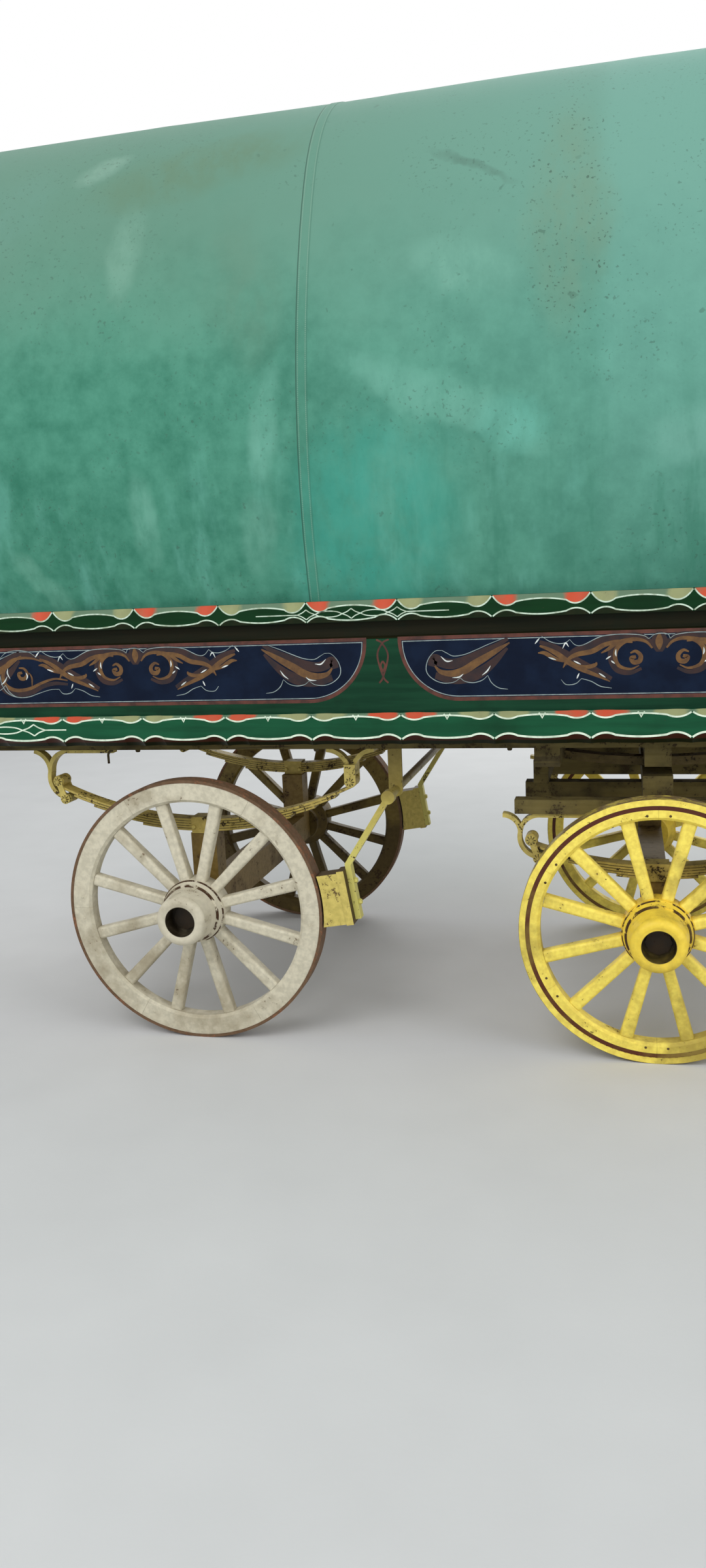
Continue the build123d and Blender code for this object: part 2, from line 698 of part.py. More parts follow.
def wheel(prefix, centre_x, rim_radius, felloe_depth, felloe_turn, tyre_thick, side):
    """One wheel in four pieces about an axis along Y. In each profile the first number runs
    outwards along the axle from the face of the felloes, and the second is the radius. The first
    joint between felloes is felloe_turn degrees from the top."""
    centre = (centre_x, side * half_width, rim_radius + tyre_thick)
    axis = Axis(centre, (0, 1, 0))
    profile_plane = Plane(origin=centre, x_dir=(0, side, 0), z_dir=(side, 0, 0))
    belt = nave_belt_radius

    with BuildPart() as nave:
        with BuildSketch(profile_plane):
            with BuildLine():
                bore = arm_radius + arm_clearance
                Polyline(
                    (nave_nose - nave_mouth_depth, bore),
                    (-nave_back, bore),
                    (-nave_back, 76),
                    (-nave_back + 22, 78),
                    (-74, belt - 6),
                    (-70, belt),
                    (2, belt),
                    (2, belt - 3),
                    (26, belt - 10),
                    (26, belt - 16),
                    (nave_nose - 22, 84),
                )
                ThreePointArc((nave_nose - 22, 84), (nave_nose - 4, 76), (nave_nose, 62))
                Polyline(
                    (nave_nose, 62),
                    (nave_nose - 3, nave_mouth),
                    (nave_nose - nave_mouth_depth, nave_mouth),
                    (nave_nose - nave_mouth_depth, bore),
                )
            make_face()
        revolve(axis=axis)
    finish(nave, f"{prefix}_nave")

    foot_radius = belt - 12
    rim_end = sqrt((rim_radius - felloe_depth - seat) ** 2 - (spoke_width / 2) ** 2)
    with BuildPart() as one_spoke:
        for radius, axial, width, depth in (
            (foot_radius, -34, spoke_width - 6, 54),
            (foot_radius + 60, -33, spoke_width - 7, 50),
            (rim_end, -31, spoke_width, 38),
        ):
            origin = (centre_x, centre[1] + side * axial, centre[2] + radius)
            with BuildSketch(Plane(origin=origin, x_dir=(1, 0, 0), z_dir=(0, 0, 1))):
                RectangleRounded(width, depth, 10)
        loft(ruled=True)
        with BuildSketch(side_plane(centre[1] - side * 34)):
            with Locations((centre_x, centre[2])):
                Circle(belt + seat)
        extrude(amount=60, both=True, mode=Mode.SUBTRACT)
    with BuildPart() as spokes:
        for index in range(spoke_count):
            add(one_spoke.part.rotate(axis, (index + 0.5) * 360 / spoke_count))
    finish(spokes, f"{prefix}_spokes")

    felloe_in = rim_radius - felloe_depth
    felloe_arc = 360 / felloe_count - degrees(felloe_kerf / rim_radius)
    with BuildPart() as one_felloe:
        with BuildSketch(profile_plane):
            with BuildLine():
                Polyline(
                    (0, rim_radius),
                    (-felloe_width, rim_radius),
                    (-felloe_width, felloe_in + felloe_chamfer),
                    (-felloe_width + felloe_chamfer, felloe_in),
                    (-felloe_chamfer, felloe_in),
                    (0, felloe_in + felloe_chamfer),
                    close=True,
                )
            make_face()
        revolve(axis=axis, revolution_arc=felloe_arc)
    with BuildPart() as felloes:
        for index in range(felloe_count):
            add(one_felloe.part.rotate(axis, felloe_turn + index * 360 / felloe_count))
    finish(felloes, f"{prefix}_felloes")

    with BuildPart() as tyre:
        with BuildSketch(profile_plane):
            overlap = (tyre_width - felloe_width) / 2
            with Locations((-felloe_width / 2, rim_radius + seat + (tyre_thick - seat) / 2)):
                Rectangle(felloe_width + 2 * overlap, tyre_thick - seat)
        revolve(axis=axis)
    finish(tyre, f"{prefix}_tyre")


for corner, side in (("right", -1), ("left", 1)):
    for end, axle_x, rim, depth, turn, tyre in (
        ("rear", rear_axle_x, rear_rim_radius, rear_felloe_depth, rear_felloe_turn, rear_tyre_thick),
        ("front", front_axle_x, front_rim_radius, front_felloe_depth, front_felloe_turn, front_tyre_thick),
    ):
        wheel(f"{end}_{corner}", axle_x, rim, depth, turn, tyre, side)

# Turntable under the body: three cross timbers below the beams and an iron ring
with BuildPart() as turntable_beds:
    bed_half = beam_y + beam_width / 2
    for index in (-1, 0, 1):
        middle = front_axle_x + index * bed_timber_spacing
        block(
            (middle - bed_timber_width / 2, middle + bed_timber_width / 2),
            (-bed_half, bed_half),
            (beam_z - bed_timber_height, beam_z),
        )
    with BuildSketch(Plane.XY.offset(upper_ring_z)):
        with Locations((front_axle_x, 0)):
            Circle(king_pin_radius + seat)
    extrude(amount=ring_thick + bed_timber_height - 10, mode=Mode.SUBTRACT)
finish(turntable_beds, "turntable_beds")


def turntable_ring(name, low_z):
    """A flat iron ring about the king pin."""
    with BuildPart() as ring:
        with BuildSketch(Plane.XY.offset(low_z)):
            with Locations((front_axle_x, 0)):
                Circle(ring_outer)
                Circle(ring_outer - ring_width, mode=Mode.SUBTRACT)
        extrude(amount=ring_thick)
    finish(ring, name)


turntable_ring("upper_ring", upper_ring_z)
turntable_ring("lower_ring", lower_ring_z)

# Fore-carriage timbers: the bolster, two bars over the springs, the futchells that carry the shafts
# and the two sway bars that rub under the ring, all framed together
pin_x = front_axle_x + futchell_front
with BuildPart() as carriage_timbers:
    block(
        (front_axle_x - carriage_bolster_width / 2, front_axle_x + carriage_bolster_width / 2),
        (-carriage_half, carriage_half),
        (carriage_bolster_z, lower_ring_z),
    )
    for side in (-1, 1):
        block(
            (front_axle_x - spring_bar_half, front_axle_x + spring_bar_half),
            (side * beam_y - spring_width / 2, side * beam_y + spring_width / 2),
            (carriage_bolster_z - spring_bar_height, carriage_bolster_z),
        )
        with BuildSketch(side_plane(side * futchell_y)):
            with BuildLine():
                low = shaft_pin_z - futchell_height / 2
                Line((front_axle_x - futchell_back, low), (pin_x, low))
                ThreePointArc((pin_x, low), (pin_x + futchell_height / 2, shaft_pin_z), (pin_x, carriage_bolster_z))
                Line((pin_x, carriage_bolster_z), (front_axle_x - futchell_back, carriage_bolster_z))
                Line((front_axle_x - futchell_back, carriage_bolster_z), (front_axle_x - futchell_back, low))
            make_face()
        extrude(amount=futchell_width / 2, both=True)
        with BuildSketch(side_plane(side * futchell_y)):
            with Locations((pin_x, shaft_pin_z)):
                Circle(shaft_pin_radius + seat)
        extrude(amount=futchell_width, both=True, mode=Mode.SUBTRACT)
    for end in (-1, 1):
        middle = front_axle_x + end * (ring_outer - ring_width / 2)
        sway_half = futchell_y + futchell_width
        block((middle - 25, middle + 25), (-sway_half, sway_half), (carriage_bolster_z, lower_ring_z))
finish(carriage_timbers, "carriage_timbers")

# Carriage pins: the king pin up into the body's middle bed timber and the rod that carries the shafts
with BuildPart() as carriage_pins:
    with BuildSketch(Plane.XY.offset(lower_ring_z)):
        with Locations((front_axle_x, 0)):
            Circle(king_pin_radius)
    extrude(amount=ring_gap + ring_thick + bed_timber_height - 15)
    with BuildSketch(Plane.XZ.offset(-shaft_pin_half)):
        with Locations((pin_x, shaft_pin_z)):
            Circle(shaft_pin_radius)
    extrude(amount=2 * shaft_pin_half)
    for side in (-1, 1):
        with BuildSketch(side_plane(side * (shaft_pin_half - 5))):
            with Locations((pin_x, shaft_pin_z)):
                RegularPolygon(shaft_pin_radius + 7, 6)
        extrude(amount=5, both=True)
finish(carriage_pins, "carriage_pins")

# Shafts: two bent ash poles that hang from the rod and rest with their tips on the ground
drop_cos = cos(shaft_drop)
drop_sin = sin(shaft_drop)


def shaft_plane(y):
    """The upright plane of one shaft: local X runs along it from the rod, local Y stands on it."""
    return Plane(origin=(pin_x, y, shaft_pin_z), x_dir=(drop_cos, 0, -drop_sin), z_dir=(0, -1, 0))


with BuildPart() as shafts:
    for side in (-1, 1):
        with BuildSketch(shaft_plane(side * shaft_y)):
            with BuildLine():
                butt = shaft_butt_depth / 2
                top = ThreePointArc(
                    (shaft_start, butt), (shaft_length / 2, shaft_bow + butt), (shaft_length, shaft_radius)
                )
                low = ThreePointArc(
                    (shaft_start, -butt), (shaft_length / 2, shaft_bow - butt), (shaft_length, -shaft_radius)
                )
                Line(top @ 0, low @ 0)
                ThreePointArc(top @ 1, (shaft_length + shaft_radius, 0), low @ 1)
            make_face()
        extrude(amount=shaft_radius - shaft_chamfer, both=True)
    for side_face in shafts.faces().filter_by(Axis.Y):
        extrude(side_face, amount=shaft_chamfer, taper=45)
    with BuildSketch(shaft_plane(0)):
        with Locations((cross_bar_ahead, cross_bar_rise)):
            RectangleRounded(cross_bar_width, cross_bar_depth, 8)
    extrude(amount=shaft_y, both=True)
    bar_plane = Plane(
        origin=shaft_plane(0).from_local_coords((cross_bar_ahead, cross_bar_rise, 0)),
        x_dir=(0, 1, 0),
        z_dir=(drop_sin, 0, drop_cos),
    )
    with BuildSketch(bar_plane):
        Circle(swingletree_bore)
    extrude(amount=cross_bar_depth, both=True, mode=Mode.SUBTRACT)
finish(shafts, "shafts")

# Shaft irons: an eye round the rod, a cap against the pole's end and a strap along each side of it
with BuildPart() as shaft_irons:
    for side in (-1, 1):
        plane = shaft_plane(side * shaft_y)
        strap_y = shaft_radius + seat + strap_thick / 2
        with BuildSketch(plane):
            Circle(shaft_eye_radius)
            with Locations((shaft_start / 2, 0)):
                Rectangle(shaft_start - 2 * seat, strap_depth)
        extrude(amount=shaft_eye_width / 2, both=True)
        with BuildSketch(plane):
            with Locations((shaft_start - seat - strap_thick / 2, 0)):
                Rectangle(strap_thick, strap_depth)
        extrude(amount=strap_y + strap_thick / 2, both=True)
        for offset in (-strap_y, strap_y):
            with BuildSketch(shaft_plane(side * shaft_y + offset)):
                with BuildLine():
                    ThreePointArc((0, 0), (shaft_length / 2, shaft_bow), (shaft_length, 0))
                trace(line_width=strap_depth)
                with Locations(((shaft_start - strap_thick + strap_length) / 2, 0)):
                    Rectangle(strap_length - shaft_start + strap_thick, 4 * shaft_butt_depth, mode=Mode.INTERSECT)
            extrude(amount=strap_thick / 2, both=True)
        with BuildSketch(plane):
            Circle(shaft_pin_radius + seat)
        extrude(amount=shaft_eye_width, both=True, mode=Mode.SUBTRACT)
finish(shaft_irons, "shaft_irons")

# Brake: a plate under each beam carries a cross shaft, whose levers press blocks on the rear tyres
pivot_x = rear_axle_x + brake_pivot[0]
pivot_z = brake_pivot[1]
lean_sin = sin(radians(lever_lean))
lean_cos = cos(radians(lever_lean))


def lever_plane(y):
    """The upright plane at y whose local X runs down the lever's lower arm from its bend."""
    bend = (rear_axle_x + lever_bend[0], y, lever_bend[1])
    return Plane(origin=bend, x_dir=(lean_sin, 0, -lean_cos), z_dir=(0, -1, 0))


with BuildPart() as brake_gear:
    for side in (-1, 1):
        block(
            (pivot_x - brake_plate_width / 2, pivot_x + brake_plate_width / 2),
            (side * beam_y - brake_plate_thick / 2, side * beam_y + brake_plate_thick / 2),
            (pivot_z, beam_z),
        )
        with BuildSketch(side_plane(side * beam_y)):
            with Locations((pivot_x, pivot_z)):
                Circle(brake_plate_width / 2)
        extrude(amount=brake_plate_thick / 2, both=True)
        foot = lever_plane(side * lever_y).from_local_coords((lever_arm, 0, 0))
        with BuildSketch(side_plane(side * lever_y)):
            with BuildLine():
                Polyline((pivot_x, pivot_z), (rear_axle_x + lever_bend[0], lever_bend[1]), (foot.X, foot.Z))
            trace(line_width=lever_thick)
            with Locations((pivot_x, pivot_z)):
                Circle(brake_shaft_radius + 8)
        extrude(amount=lever_width / 2, both=True)
    with BuildSketch(Plane.XZ.offset(-lever_y)):
        with Locations((pivot_x, pivot_z)):
            Circle(brake_shaft_radius)
    extrude(amount=2 * lever_y)
finish(brake_gear, "brake_gear")

# Brake blocks, bolted to the lower arms and hollowed to the tyre with a running gap
with BuildPart() as brake_blocks:
    for side in (-1, 1):
        plane = lever_plane(side * (half_width - felloe_width / 2))
        block_back = lever_thick / 2 + seat
        with BuildSketch(plane):
            with Locations((block_drop + block_length / 2, -block_back - 65)):
                Rectangle(block_length, 130)
        extrude(amount=tyre_width / 2, both=True)
        with BuildSketch(side_plane(side * half_width)):
            with Locations((rear_axle_x, rear_wheel_radius)):
                Circle(rear_wheel_radius + brake_gap)
        extrude(amount=2 * tyre_width, both=True, mode=Mode.SUBTRACT)
finish(brake_blocks, "brake_blocks")
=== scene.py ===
import bpy
import numpy as np
from mathutils import Matrix, Vector


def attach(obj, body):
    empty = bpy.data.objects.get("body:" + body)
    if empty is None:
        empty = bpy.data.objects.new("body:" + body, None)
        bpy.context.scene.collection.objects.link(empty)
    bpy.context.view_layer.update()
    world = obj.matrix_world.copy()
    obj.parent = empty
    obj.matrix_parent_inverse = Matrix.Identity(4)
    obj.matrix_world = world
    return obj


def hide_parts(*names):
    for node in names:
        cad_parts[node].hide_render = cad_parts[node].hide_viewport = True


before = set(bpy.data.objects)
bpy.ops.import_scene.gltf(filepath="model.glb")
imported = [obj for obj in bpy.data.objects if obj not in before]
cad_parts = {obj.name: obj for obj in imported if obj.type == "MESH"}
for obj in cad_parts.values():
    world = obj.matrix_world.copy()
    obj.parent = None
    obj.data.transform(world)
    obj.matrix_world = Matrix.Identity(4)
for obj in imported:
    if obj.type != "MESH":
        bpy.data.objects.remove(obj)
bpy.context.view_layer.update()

# Camera: it stands at eye height off the wagon's right side and looks slightly down, turned a
# little towards the tail, so that the middle stretch of the wagon fills a tall frame.
camera_data = bpy.data.cameras.new("camera")
camera = bpy.data.objects.new("camera", camera_data)
bpy.context.collection.objects.link(camera)
bpy.context.scene.camera = camera
camera_data.sensor_width = 36
camera_data.lens = 25.5255
# its axes and its place, as worked out from the wheels' ellipses and the straight rails
sight_right = (0.97143801, 0.23325832, -0.04357456)
sight_down = (0.0025593, -0.19392003, -0.981014)
sight_ahead = (-0.23727965, 0.95288277, -0.18897827)
eye = (-0.14353, -4.054, 1.547)
camera.matrix_world = Matrix(
    [(sight_right[i], -sight_down[i], -sight_ahead[i], eye[i]) for i in range(3)] + [(0, 0, 0, 1)]
)


# Studio: a plain pale floor, pale surroundings and three soft lamps at a plain level. None of it is
# part of the wagon.
class Dab:
    """The value of one socket in a material. + - * / < > on it add the Math nodes, and node() adds
    any other node: its type, its settings, which are made first, and its sockets' values or links."""

    def __init__(self, tree, socket=None):
        self.tree = tree
        self.socket = socket

    def node(self, kind, settings, sockets, output=0):
        made = self.tree.nodes.new("ShaderNode" + kind)
        for key, value in settings.items():
            setattr(made, key, value)
        for key, value in sockets.items():
            if isinstance(value, Dab):
                self.tree.links.new(value.socket, made.inputs[key])
            else:
                made.inputs[key].default_value = value
        return Dab(self.tree, made.outputs[output])

    def maths(self, operation, first, second=0.0):
        return self.node("Math", {"operation": operation}, {0: first, 1: second})

    def __add__(self, other):
        return self.maths("ADD", self, other)

    def __sub__(self, other):
        return self.maths("SUBTRACT", self, other)

    def __rsub__(self, other):
        return self.maths("SUBTRACT", other, self)

    def __mul__(self, other):
        return self.maths("MULTIPLY", self, other)

    def __truediv__(self, other):
        return self.maths("DIVIDE", self, other)

    def __gt__(self, other):
        return self.maths("GREATER_THAN", self, other)

    def __lt__(self, other):
        return self.maths("LESS_THAN", self, other)

    __radd__ = __add__

    def within(self, low, high):
        """1 between low and high, else 0."""
        return (self > low) * (self < high)

    def mix(self, first, second):
        """The first colour where this value is 0 and the second where it is 1."""
        return self.node("Mix", {"data_type": "RGBA"}, {0: self, 6: first, 7: second}, output=2)

    def step(self, low, high):
        """0 below low, 1 above high and a smooth rise between."""
        ends = {"Value": self, "From Min": low, "From Max": high}
        return self.node("MapRange", {"interpolation_type": "SMOOTHSTEP"}, ends)

    def cloud(self, scale, detail=3.0, stretch=(1, 1, 1), roughness=0.55):
        """Noise about 0.5 on object coordinates, stretched along the axes."""
        place = self.node("TexCoord", {}, {}, output=3)
        place = self.node("Mapping", {}, {"Vector": place, "Scale": stretch})
        grain = {"Vector": place, "Scale": scale, "Detail": detail, "Roughness": roughness}
        return self.node("TexNoise", {}, grain)

    def along(self, axis):
        """The object coordinate along X, Y or Z, in metres."""
        place = self.node("TexCoord", {}, {}, output=3)
        return self.node("SeparateXYZ", {}, {0: place}, output="XYZ".index(axis))

    def facing(self, axis):
        """How far the surface faces along X, Y or Z, from -1 to 1."""
        normal = self.node("NewGeometry", {}, {}, output=3)
        return self.node("SeparateXYZ", {}, {0: normal}, output="XYZ".index(axis))


def tint(red, green, blue):
    """A colour as it looks on a screen, from 0 to 255, turned into the light that it gives back."""
    return tuple(((part / 255 + 0.055) / 1.055) ** 2.4 for part in (red, green, blue)) + (1,)


def new_material(name):
    """An empty material: itself, a Dab to build on and its Principled shader."""
    material = bpy.data.materials.new(name)
    material.use_nodes = True
    return material, Dab(material.node_tree), material.node_tree.nodes["Principled BSDF"]


def finish_material(dab, shader, colour, roughness, height, depth, metallic=None, gloss=0.28):
    """Links colour, roughness and a bump of that depth in metres to the shader, whose gloss is one
    number all over."""
    shader.inputs["Specular IOR Level"].default_value = gloss
    bump = dab.node("Bump", {}, {"Strength": 1.0, "Distance": depth, "Height": height})
    given = {"Base Color": colour, "Roughness": roughness, "Normal": bump, "Metallic": metallic}
    for key, value in given.items():
        if isinstance(value, Dab):
            dab.tree.links.new(value.socket, shader.inputs[key])
        elif value is not None:
            shader.inputs[key].default_value = value


material, dab, shader = new_material("studio_floor")
speckle = dab.cloud(3.0, 2.0).mix((0.60, 0.60, 0.59, 1), (0.66, 0.66, 0.65, 1))
finish_material(dab, shader, speckle, 0.85, dab.cloud(40.0), 0.0005)
floor_mesh = bpy.data.meshes.new("floor")
floor_reach = 40
floor_corners = [(x * floor_reach, y * floor_reach, 0) for x, y in ((-1, -1), (1, -1), (1, 1), (-1, 1))]
floor_mesh.from_pydata(floor_corners, [], [(0, 1, 2, 3)])
floor_mesh.materials.append(material)
floor = bpy.data.objects.new("floor", floor_mesh)
bpy.context.collection.objects.link(floor)

world = bpy.data.worlds.new("surroundings")
bpy.context.scene.world = world
world.use_nodes = True
dab = Dab(world.node_tree)
# white to the camera, in a gloss and through glass; dimmer and a little blue where they only light
camera_ray, glossy_ray, clear_ray = (dab.node("LightPath", {}, {}, output=which) for which in (0, 3, 6))
seen = camera_ray + glossy_ray + clear_ray
shown = seen.mix((0.92, 0.96, 1.0, 1), (1, 1, 1, 1))
strength = dab.maths("MINIMUM", seen, 1.0) * 0.38 + 0.62
background = world.node_tree.nodes["Background"]
world.node_tree.links.new(shown.socket, background.inputs["Color"])
world.node_tree.links.new(strength.socket, background.inputs["Strength"])

lamp_aim = Vector((0, 0, 1.2))
lamp_table = (
    # name, place, size, power
    ("lamp_key", (-3.0, -6.5, 6.5), 5.0, 330),
    ("lamp_fill", (6.0, -4.0, 4.0), 5.0, 160),
    ("lamp_back", (0.0, 7.0, 6.0), 6.0, 260),
)
for name, place, size, power in lamp_table:
    lamp = bpy.data.lights.new(name, "AREA")
    lamp.size = size
    lamp.energy = power
    stand = bpy.data.objects.new(name, lamp)
    bpy.context.collection.objects.link(stand)
    turn = (Vector(place) - lamp_aim).to_track_quat("Z", "Y")
    stand.matrix_world = Matrix.Translation(place) @ turn.to_matrix().to_4x4()
bpy.context.scene.view_settings.view_transform = "Standard"


# Wheels: turned naves, twelve tapered ash spokes and six felloes each, inside a hoop shrunk on hot.
# The right rear one is brushed white and the others are yellow, the far left rear one darkened with
# painted shade under the wagon. Grease blackens the naves' mouths, and the paint is cracked round
# their turned steps.
wheel_face = 0.710  # how far out the felloes' outer face is
rear_hub, front_hub = (-1.5465, 0.4474), (-0.0445, 0.4200)  # (x, z), each as high as its tyre's radius


def coat(material, *names):
    """Gives the CAD nodes of those names this material."""
    for name in names:
        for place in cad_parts[name].material_slots:
            place.material = material


def coach_paint(
    name, colour, bare, dirt, chipped=0.60, dirty=0.55, roughness=0.45, grain=(1, 1, 1), dirt_low=0.0,
    picked_out=None,
):
    """Paint whose chips, of the bare colour, show where fine noise passes `chipped`, and whose dirt
    shows where broad noise passes `dirty`; dirt_low adds dirt towards the ground. picked_out, given
    the Dab and the paint's colour, lays more colours over it."""
    material, dab, shader = new_material(name)
    broad = dab.cloud(2.6, 4.0)
    patches = dab.cloud(16.0, 5.0)
    fine = dab.cloud(95.0, 4.0, roughness=0.7)
    brush = dab.cloud(60.0, 2.0, stretch=grain)
    chips = (fine * 0.55 + patches * 0.45).step(chipped, chipped + 0.03)
    near_ground = 1.0 - dab.along("Z").step(0.0, 0.7)
    grime = (broad * 0.6 + patches * 0.4 + near_ground * dirt_low).step(dirty, dirty + 0.22) * 0.75
    paler = tuple(min(part * 1.22 + 0.01, 1) for part in colour[:3]) + (1,)
    tone = brush.step(0.3, 0.7).mix(colour, paler)
    if picked_out:
        tone = picked_out(dab, tone)
    tone = grime.mix(tone, dirt)
    tone = chips.mix(tone, bare)
    relief = brush * 0.35 + (1.0 - chips) * 0.6 + fine * 0.15
    finish_material(dab, shader, tone, chips * 0.3 + grime * 0.2 + roughness, relief, 0.0009)
    return material


def about(dab, place):
    """The distance of a point from the line across the wagon through place (x, z)."""
    ahead = dab.along("X") - place[0]
    up = dab.along("Z") - place[1]
    return dab.maths("SQRT", ahead * ahead + up * up)


def wheel_marks(hub, banded, nave_colour):
    """What is picked out on a wheel. With r the distance from its axle and s that out from the
    felloes' face: a deeper nave, dark cracks round the nave at s = 0 and 26 mm, grease where
    r < 51 mm, a red brown band by the tyre if it is banded, and a tread worn bare."""
    def lay(dab, tone):
        radius = about(dab, hub)
        out = dab.maths("ABSOLUTE", dab.along("Y")) - wheel_face
        broken = dab.cloud(26.0, 4.0, roughness=0.7)
        tone = ((radius < 0.112) * 0.6).mix(tone, nave_colour)
        rings = out.within(0.0225, 0.0290) + out.within(-0.0015, 0.0045) * (radius < 0.115)
        tone = (rings * broken.step(0.42, 0.50)).mix(tone, tint(66, 42, 24))
        if banded:
            tone = radius.within(0.3865, 0.4002).mix(tone, tint(84, 40, 24))
        tread = (radius > hub[1] - 0.0012) * (0.35 + broken.step(0.3, 0.6) * 0.65)
        tone = tread.mix(tone, tint(112, 92, 62))
        grease = (1.0 - radius.step(0.0502, 0.0522)) * (out > 0.0)
        return grease.mix(tone, tint(36, 28, 16))
    return lay


wheel_white = coach_paint(
    "wheel_white", tint(194, 187, 165), tint(120, 104, 82), tint(150, 138, 112), chipped=0.62,
    dirty=0.5, dirt_low=0.12, picked_out=wheel_marks(rear_hub, False, tint(206, 198, 176)),
)
wheel_yellow = coach_paint(
    "wheel_yellow", tint(238, 213, 92), tint(104, 78, 44), tint(146, 126, 58), chipped=0.61, dirty=0.5,
    dirt_low=0.12, picked_out=wheel_marks(front_hub, True, tint(242, 202, 44)),
)
# the far rear wheel's yellow, nave and dirt are darkened: painted shade under the wagon
far_yellow_in_shade = coach_paint(
    "far_yellow_in_shade", tint(112, 94, 36), tint(58, 42, 24), tint(54, 40, 16), chipped=0.57, dirty=0.42,
    dirt_low=0.2, picked_out=wheel_marks(rear_hub, False, tint(104, 84, 32)),
)
rust = coach_paint(
    "rust", tint(98, 74, 52), tint(134, 92, 66), tint(60, 46, 32), chipped=0.54, dirty=0.5,
    roughness=0.7,
)
for corner, paint, tyre_paint in (
    ("rear_right", wheel_white, rust), ("rear_left", far_yellow_in_shade, rust),
    ("front_right", wheel_yellow, wheel_yellow), ("front_left", wheel_yellow, wheel_yellow),
):
    coat(paint, corner + "_nave", corner + "_spokes", corner + "_felloes")
    coat(tyre_paint, corner + "_tyre")


def new_piece(name, points, faces, material, body, smooth=True):
    """A mesh from points and faces that rides on a body and takes the given material."""
    mesh = bpy.data.meshes.new(name)
    faces = faces if isinstance(faces, list) else faces.tolist()
    mesh.from_pydata(np.asarray(points).tolist(), [], faces)
    mesh.polygons.foreach_set("use_smooth", [smooth] * len(mesh.polygons))
    mesh.update()
    mesh.materials.append(material)
    piece = bpy.data.objects.new(name, mesh)
    bpy.context.collection.objects.link(piece)
    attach(piece, body)
    return piece


def bevelled(radius, height):
    """The profile of a bolt's head or a nut: upright, then bevelled to three quarters."""
    return ((radius, 0.0), (radius, 0.6 * height), (0.75 * radius, height))


def turned(name, centres, axes, profile, sides, material, body, smooth=False):
    """One turned or many-sided head at each centre. Its rings are centre + axis * h + r (cos a, sin a)
    across the axis, for each (r, h) of the profile, and flat faces close both ends."""
    centres = np.asarray(centres, float)
    axes = np.broadcast_to(np.asarray(axes, float), centres.shape)
    across = np.cross(axes, (0.36, 0.48, 0.80))
    across /= np.linalg.norm(across, axis=1)[:, None]
    other = np.cross(axes, across)
    angle = (np.arange(sides) * 2 * np.pi / sides)[:, None]
    ring = across[:, None] * np.cos(angle) + other[:, None] * np.sin(angle)
    rings = [centres[:, None] + axes[:, None] * up + ring * reach for reach, up in profile]
    points = np.stack(rings, 1)
    index = np.arange(points[..., 0].size).reshape(points.shape[:3])
    after = np.roll(index, -1, axis=2)
    walls = np.stack([index[:, :-1], after[:, :-1], after[:, 1:], index[:, 1:]], -1).reshape(-1, 4)
    faces = walls.tolist() + index[:, -1].tolist() + index[:, 0, ::-1].tolist()
    return new_piece(name, points.reshape(-1, 3), faces, material, body, smooth)


# two bolts through the felloes, 5.2 degrees either side of each of their six joints, their heads let
# in by 0.8 mm
joint_to_bolt, let_in = 5.2, 0.0008
bolt_dark = coach_paint(
    "bolt_dark", tint(84, 66, 34), tint(52, 38, 24), tint(44, 34, 20), chipped=0.52, dirty=0.46,
    roughness=0.6,
)
wheel_table = (
    # name, hub, side, radius of the bolts' circle, degrees from the top to the first joint, slot
    ("rear_right_wheel", rear_hub, -1, 0.404, 30, "wheel_white"),
    ("rear_left_wheel", rear_hub, 1, 0.404, 30, "trim_yellow"),
    ("front_right_wheel", front_hub, -1, 0.370, 0, "trim_yellow"),
    ("front_left_wheel", front_hub, 1, 0.370, 0, "trim_yellow"),
)
for body, hub, side, circle, turn, slot in wheel_table:
    beside = np.tile([-joint_to_bolt, joint_to_bolt], 6)
    angle = np.radians(turn + 60 * np.repeat(np.arange(6), 2) + beside)
    x, z = hub[0] + circle * np.sin(angle), hub[1] + circle * np.cos(angle)
    centres = np.stack([x, np.full(12, side * (wheel_face - let_in)), z], 1)
    paint = wheel_white if slot == "wheel_white" else bolt_dark
    turned(body + "_bolts", centres, (0, side, 0), bevelled(0.0042, 0.0022), 8, paint, body)


# Axles and springs: timber axle beds with iron arms, under semi-elliptic springs of five steel leaves
# held by a buckle. All are painted a duller yellow, cracked between the leaves and black with grease
# at the arms.
beam_y = 0.545  # how far out the middles of the springs and of the beams are
leaf_thick = 0.0085


def leaf_marks(hub_x, top_z, half_span, rise):
    """Dark cracks between a spring's leaves: rings about the centre of the leaves' arcs, one leaf
    apart, broken here and there."""
    arc = (half_span**2 + rise**2) / (2 * rise)

    def lay(dab, tone):
        place = (about(dab, (hub_x, top_z + arc)) - arc) / leaf_thick
        split = dab.maths("FRACT", place)
        beside = dab.maths("ABSOLUTE", dab.maths("ABSOLUTE", dab.along("Y")) - beam_y) < 0.0275
        crack = ((split > 0.82) + (split < 0.10)) * place.within(0.5, 4.5) * beside
        broken = dab.cloud(22.0, 4.0, roughness=0.7).step(0.34, 0.44)
        return (crack * broken * 0.9).mix(tone, tint(38, 28, 14))
    return lay


spring_paint = dict(
    colour=tint(176, 156, 82), bare=tint(52, 40, 22), dirt=tint(72, 56, 26), chipped=0.555, dirty=0.45
)
for place, hub, top_z, half_span, rise in (
    ("rear", rear_hub, 0.733, 0.550, 0.128), ("front", front_hub, 0.597, 0.400, 0.070)
):
    marks = leaf_marks(hub[0], top_z, half_span, rise)
    coat(coach_paint(place + "_leaves", picked_out=marks, **spring_paint), place + "_springs")


def axle_marks(dab, tone):
    """Grease on the arms' ends, beyond 700 mm from the wagon's middle."""
    return (dab.maths("ABSOLUTE", dab.along("Y")) > 0.700).mix(tone, tint(34, 27, 17))


axle_paint = coach_paint(
    "axle_paint", tint(116, 94, 44), tint(70, 50, 30), tint(62, 44, 22), chipped=0.58, dirty=0.42,
    picked_out=axle_marks,
)
coat(axle_paint, "rear_axle", "front_axle")


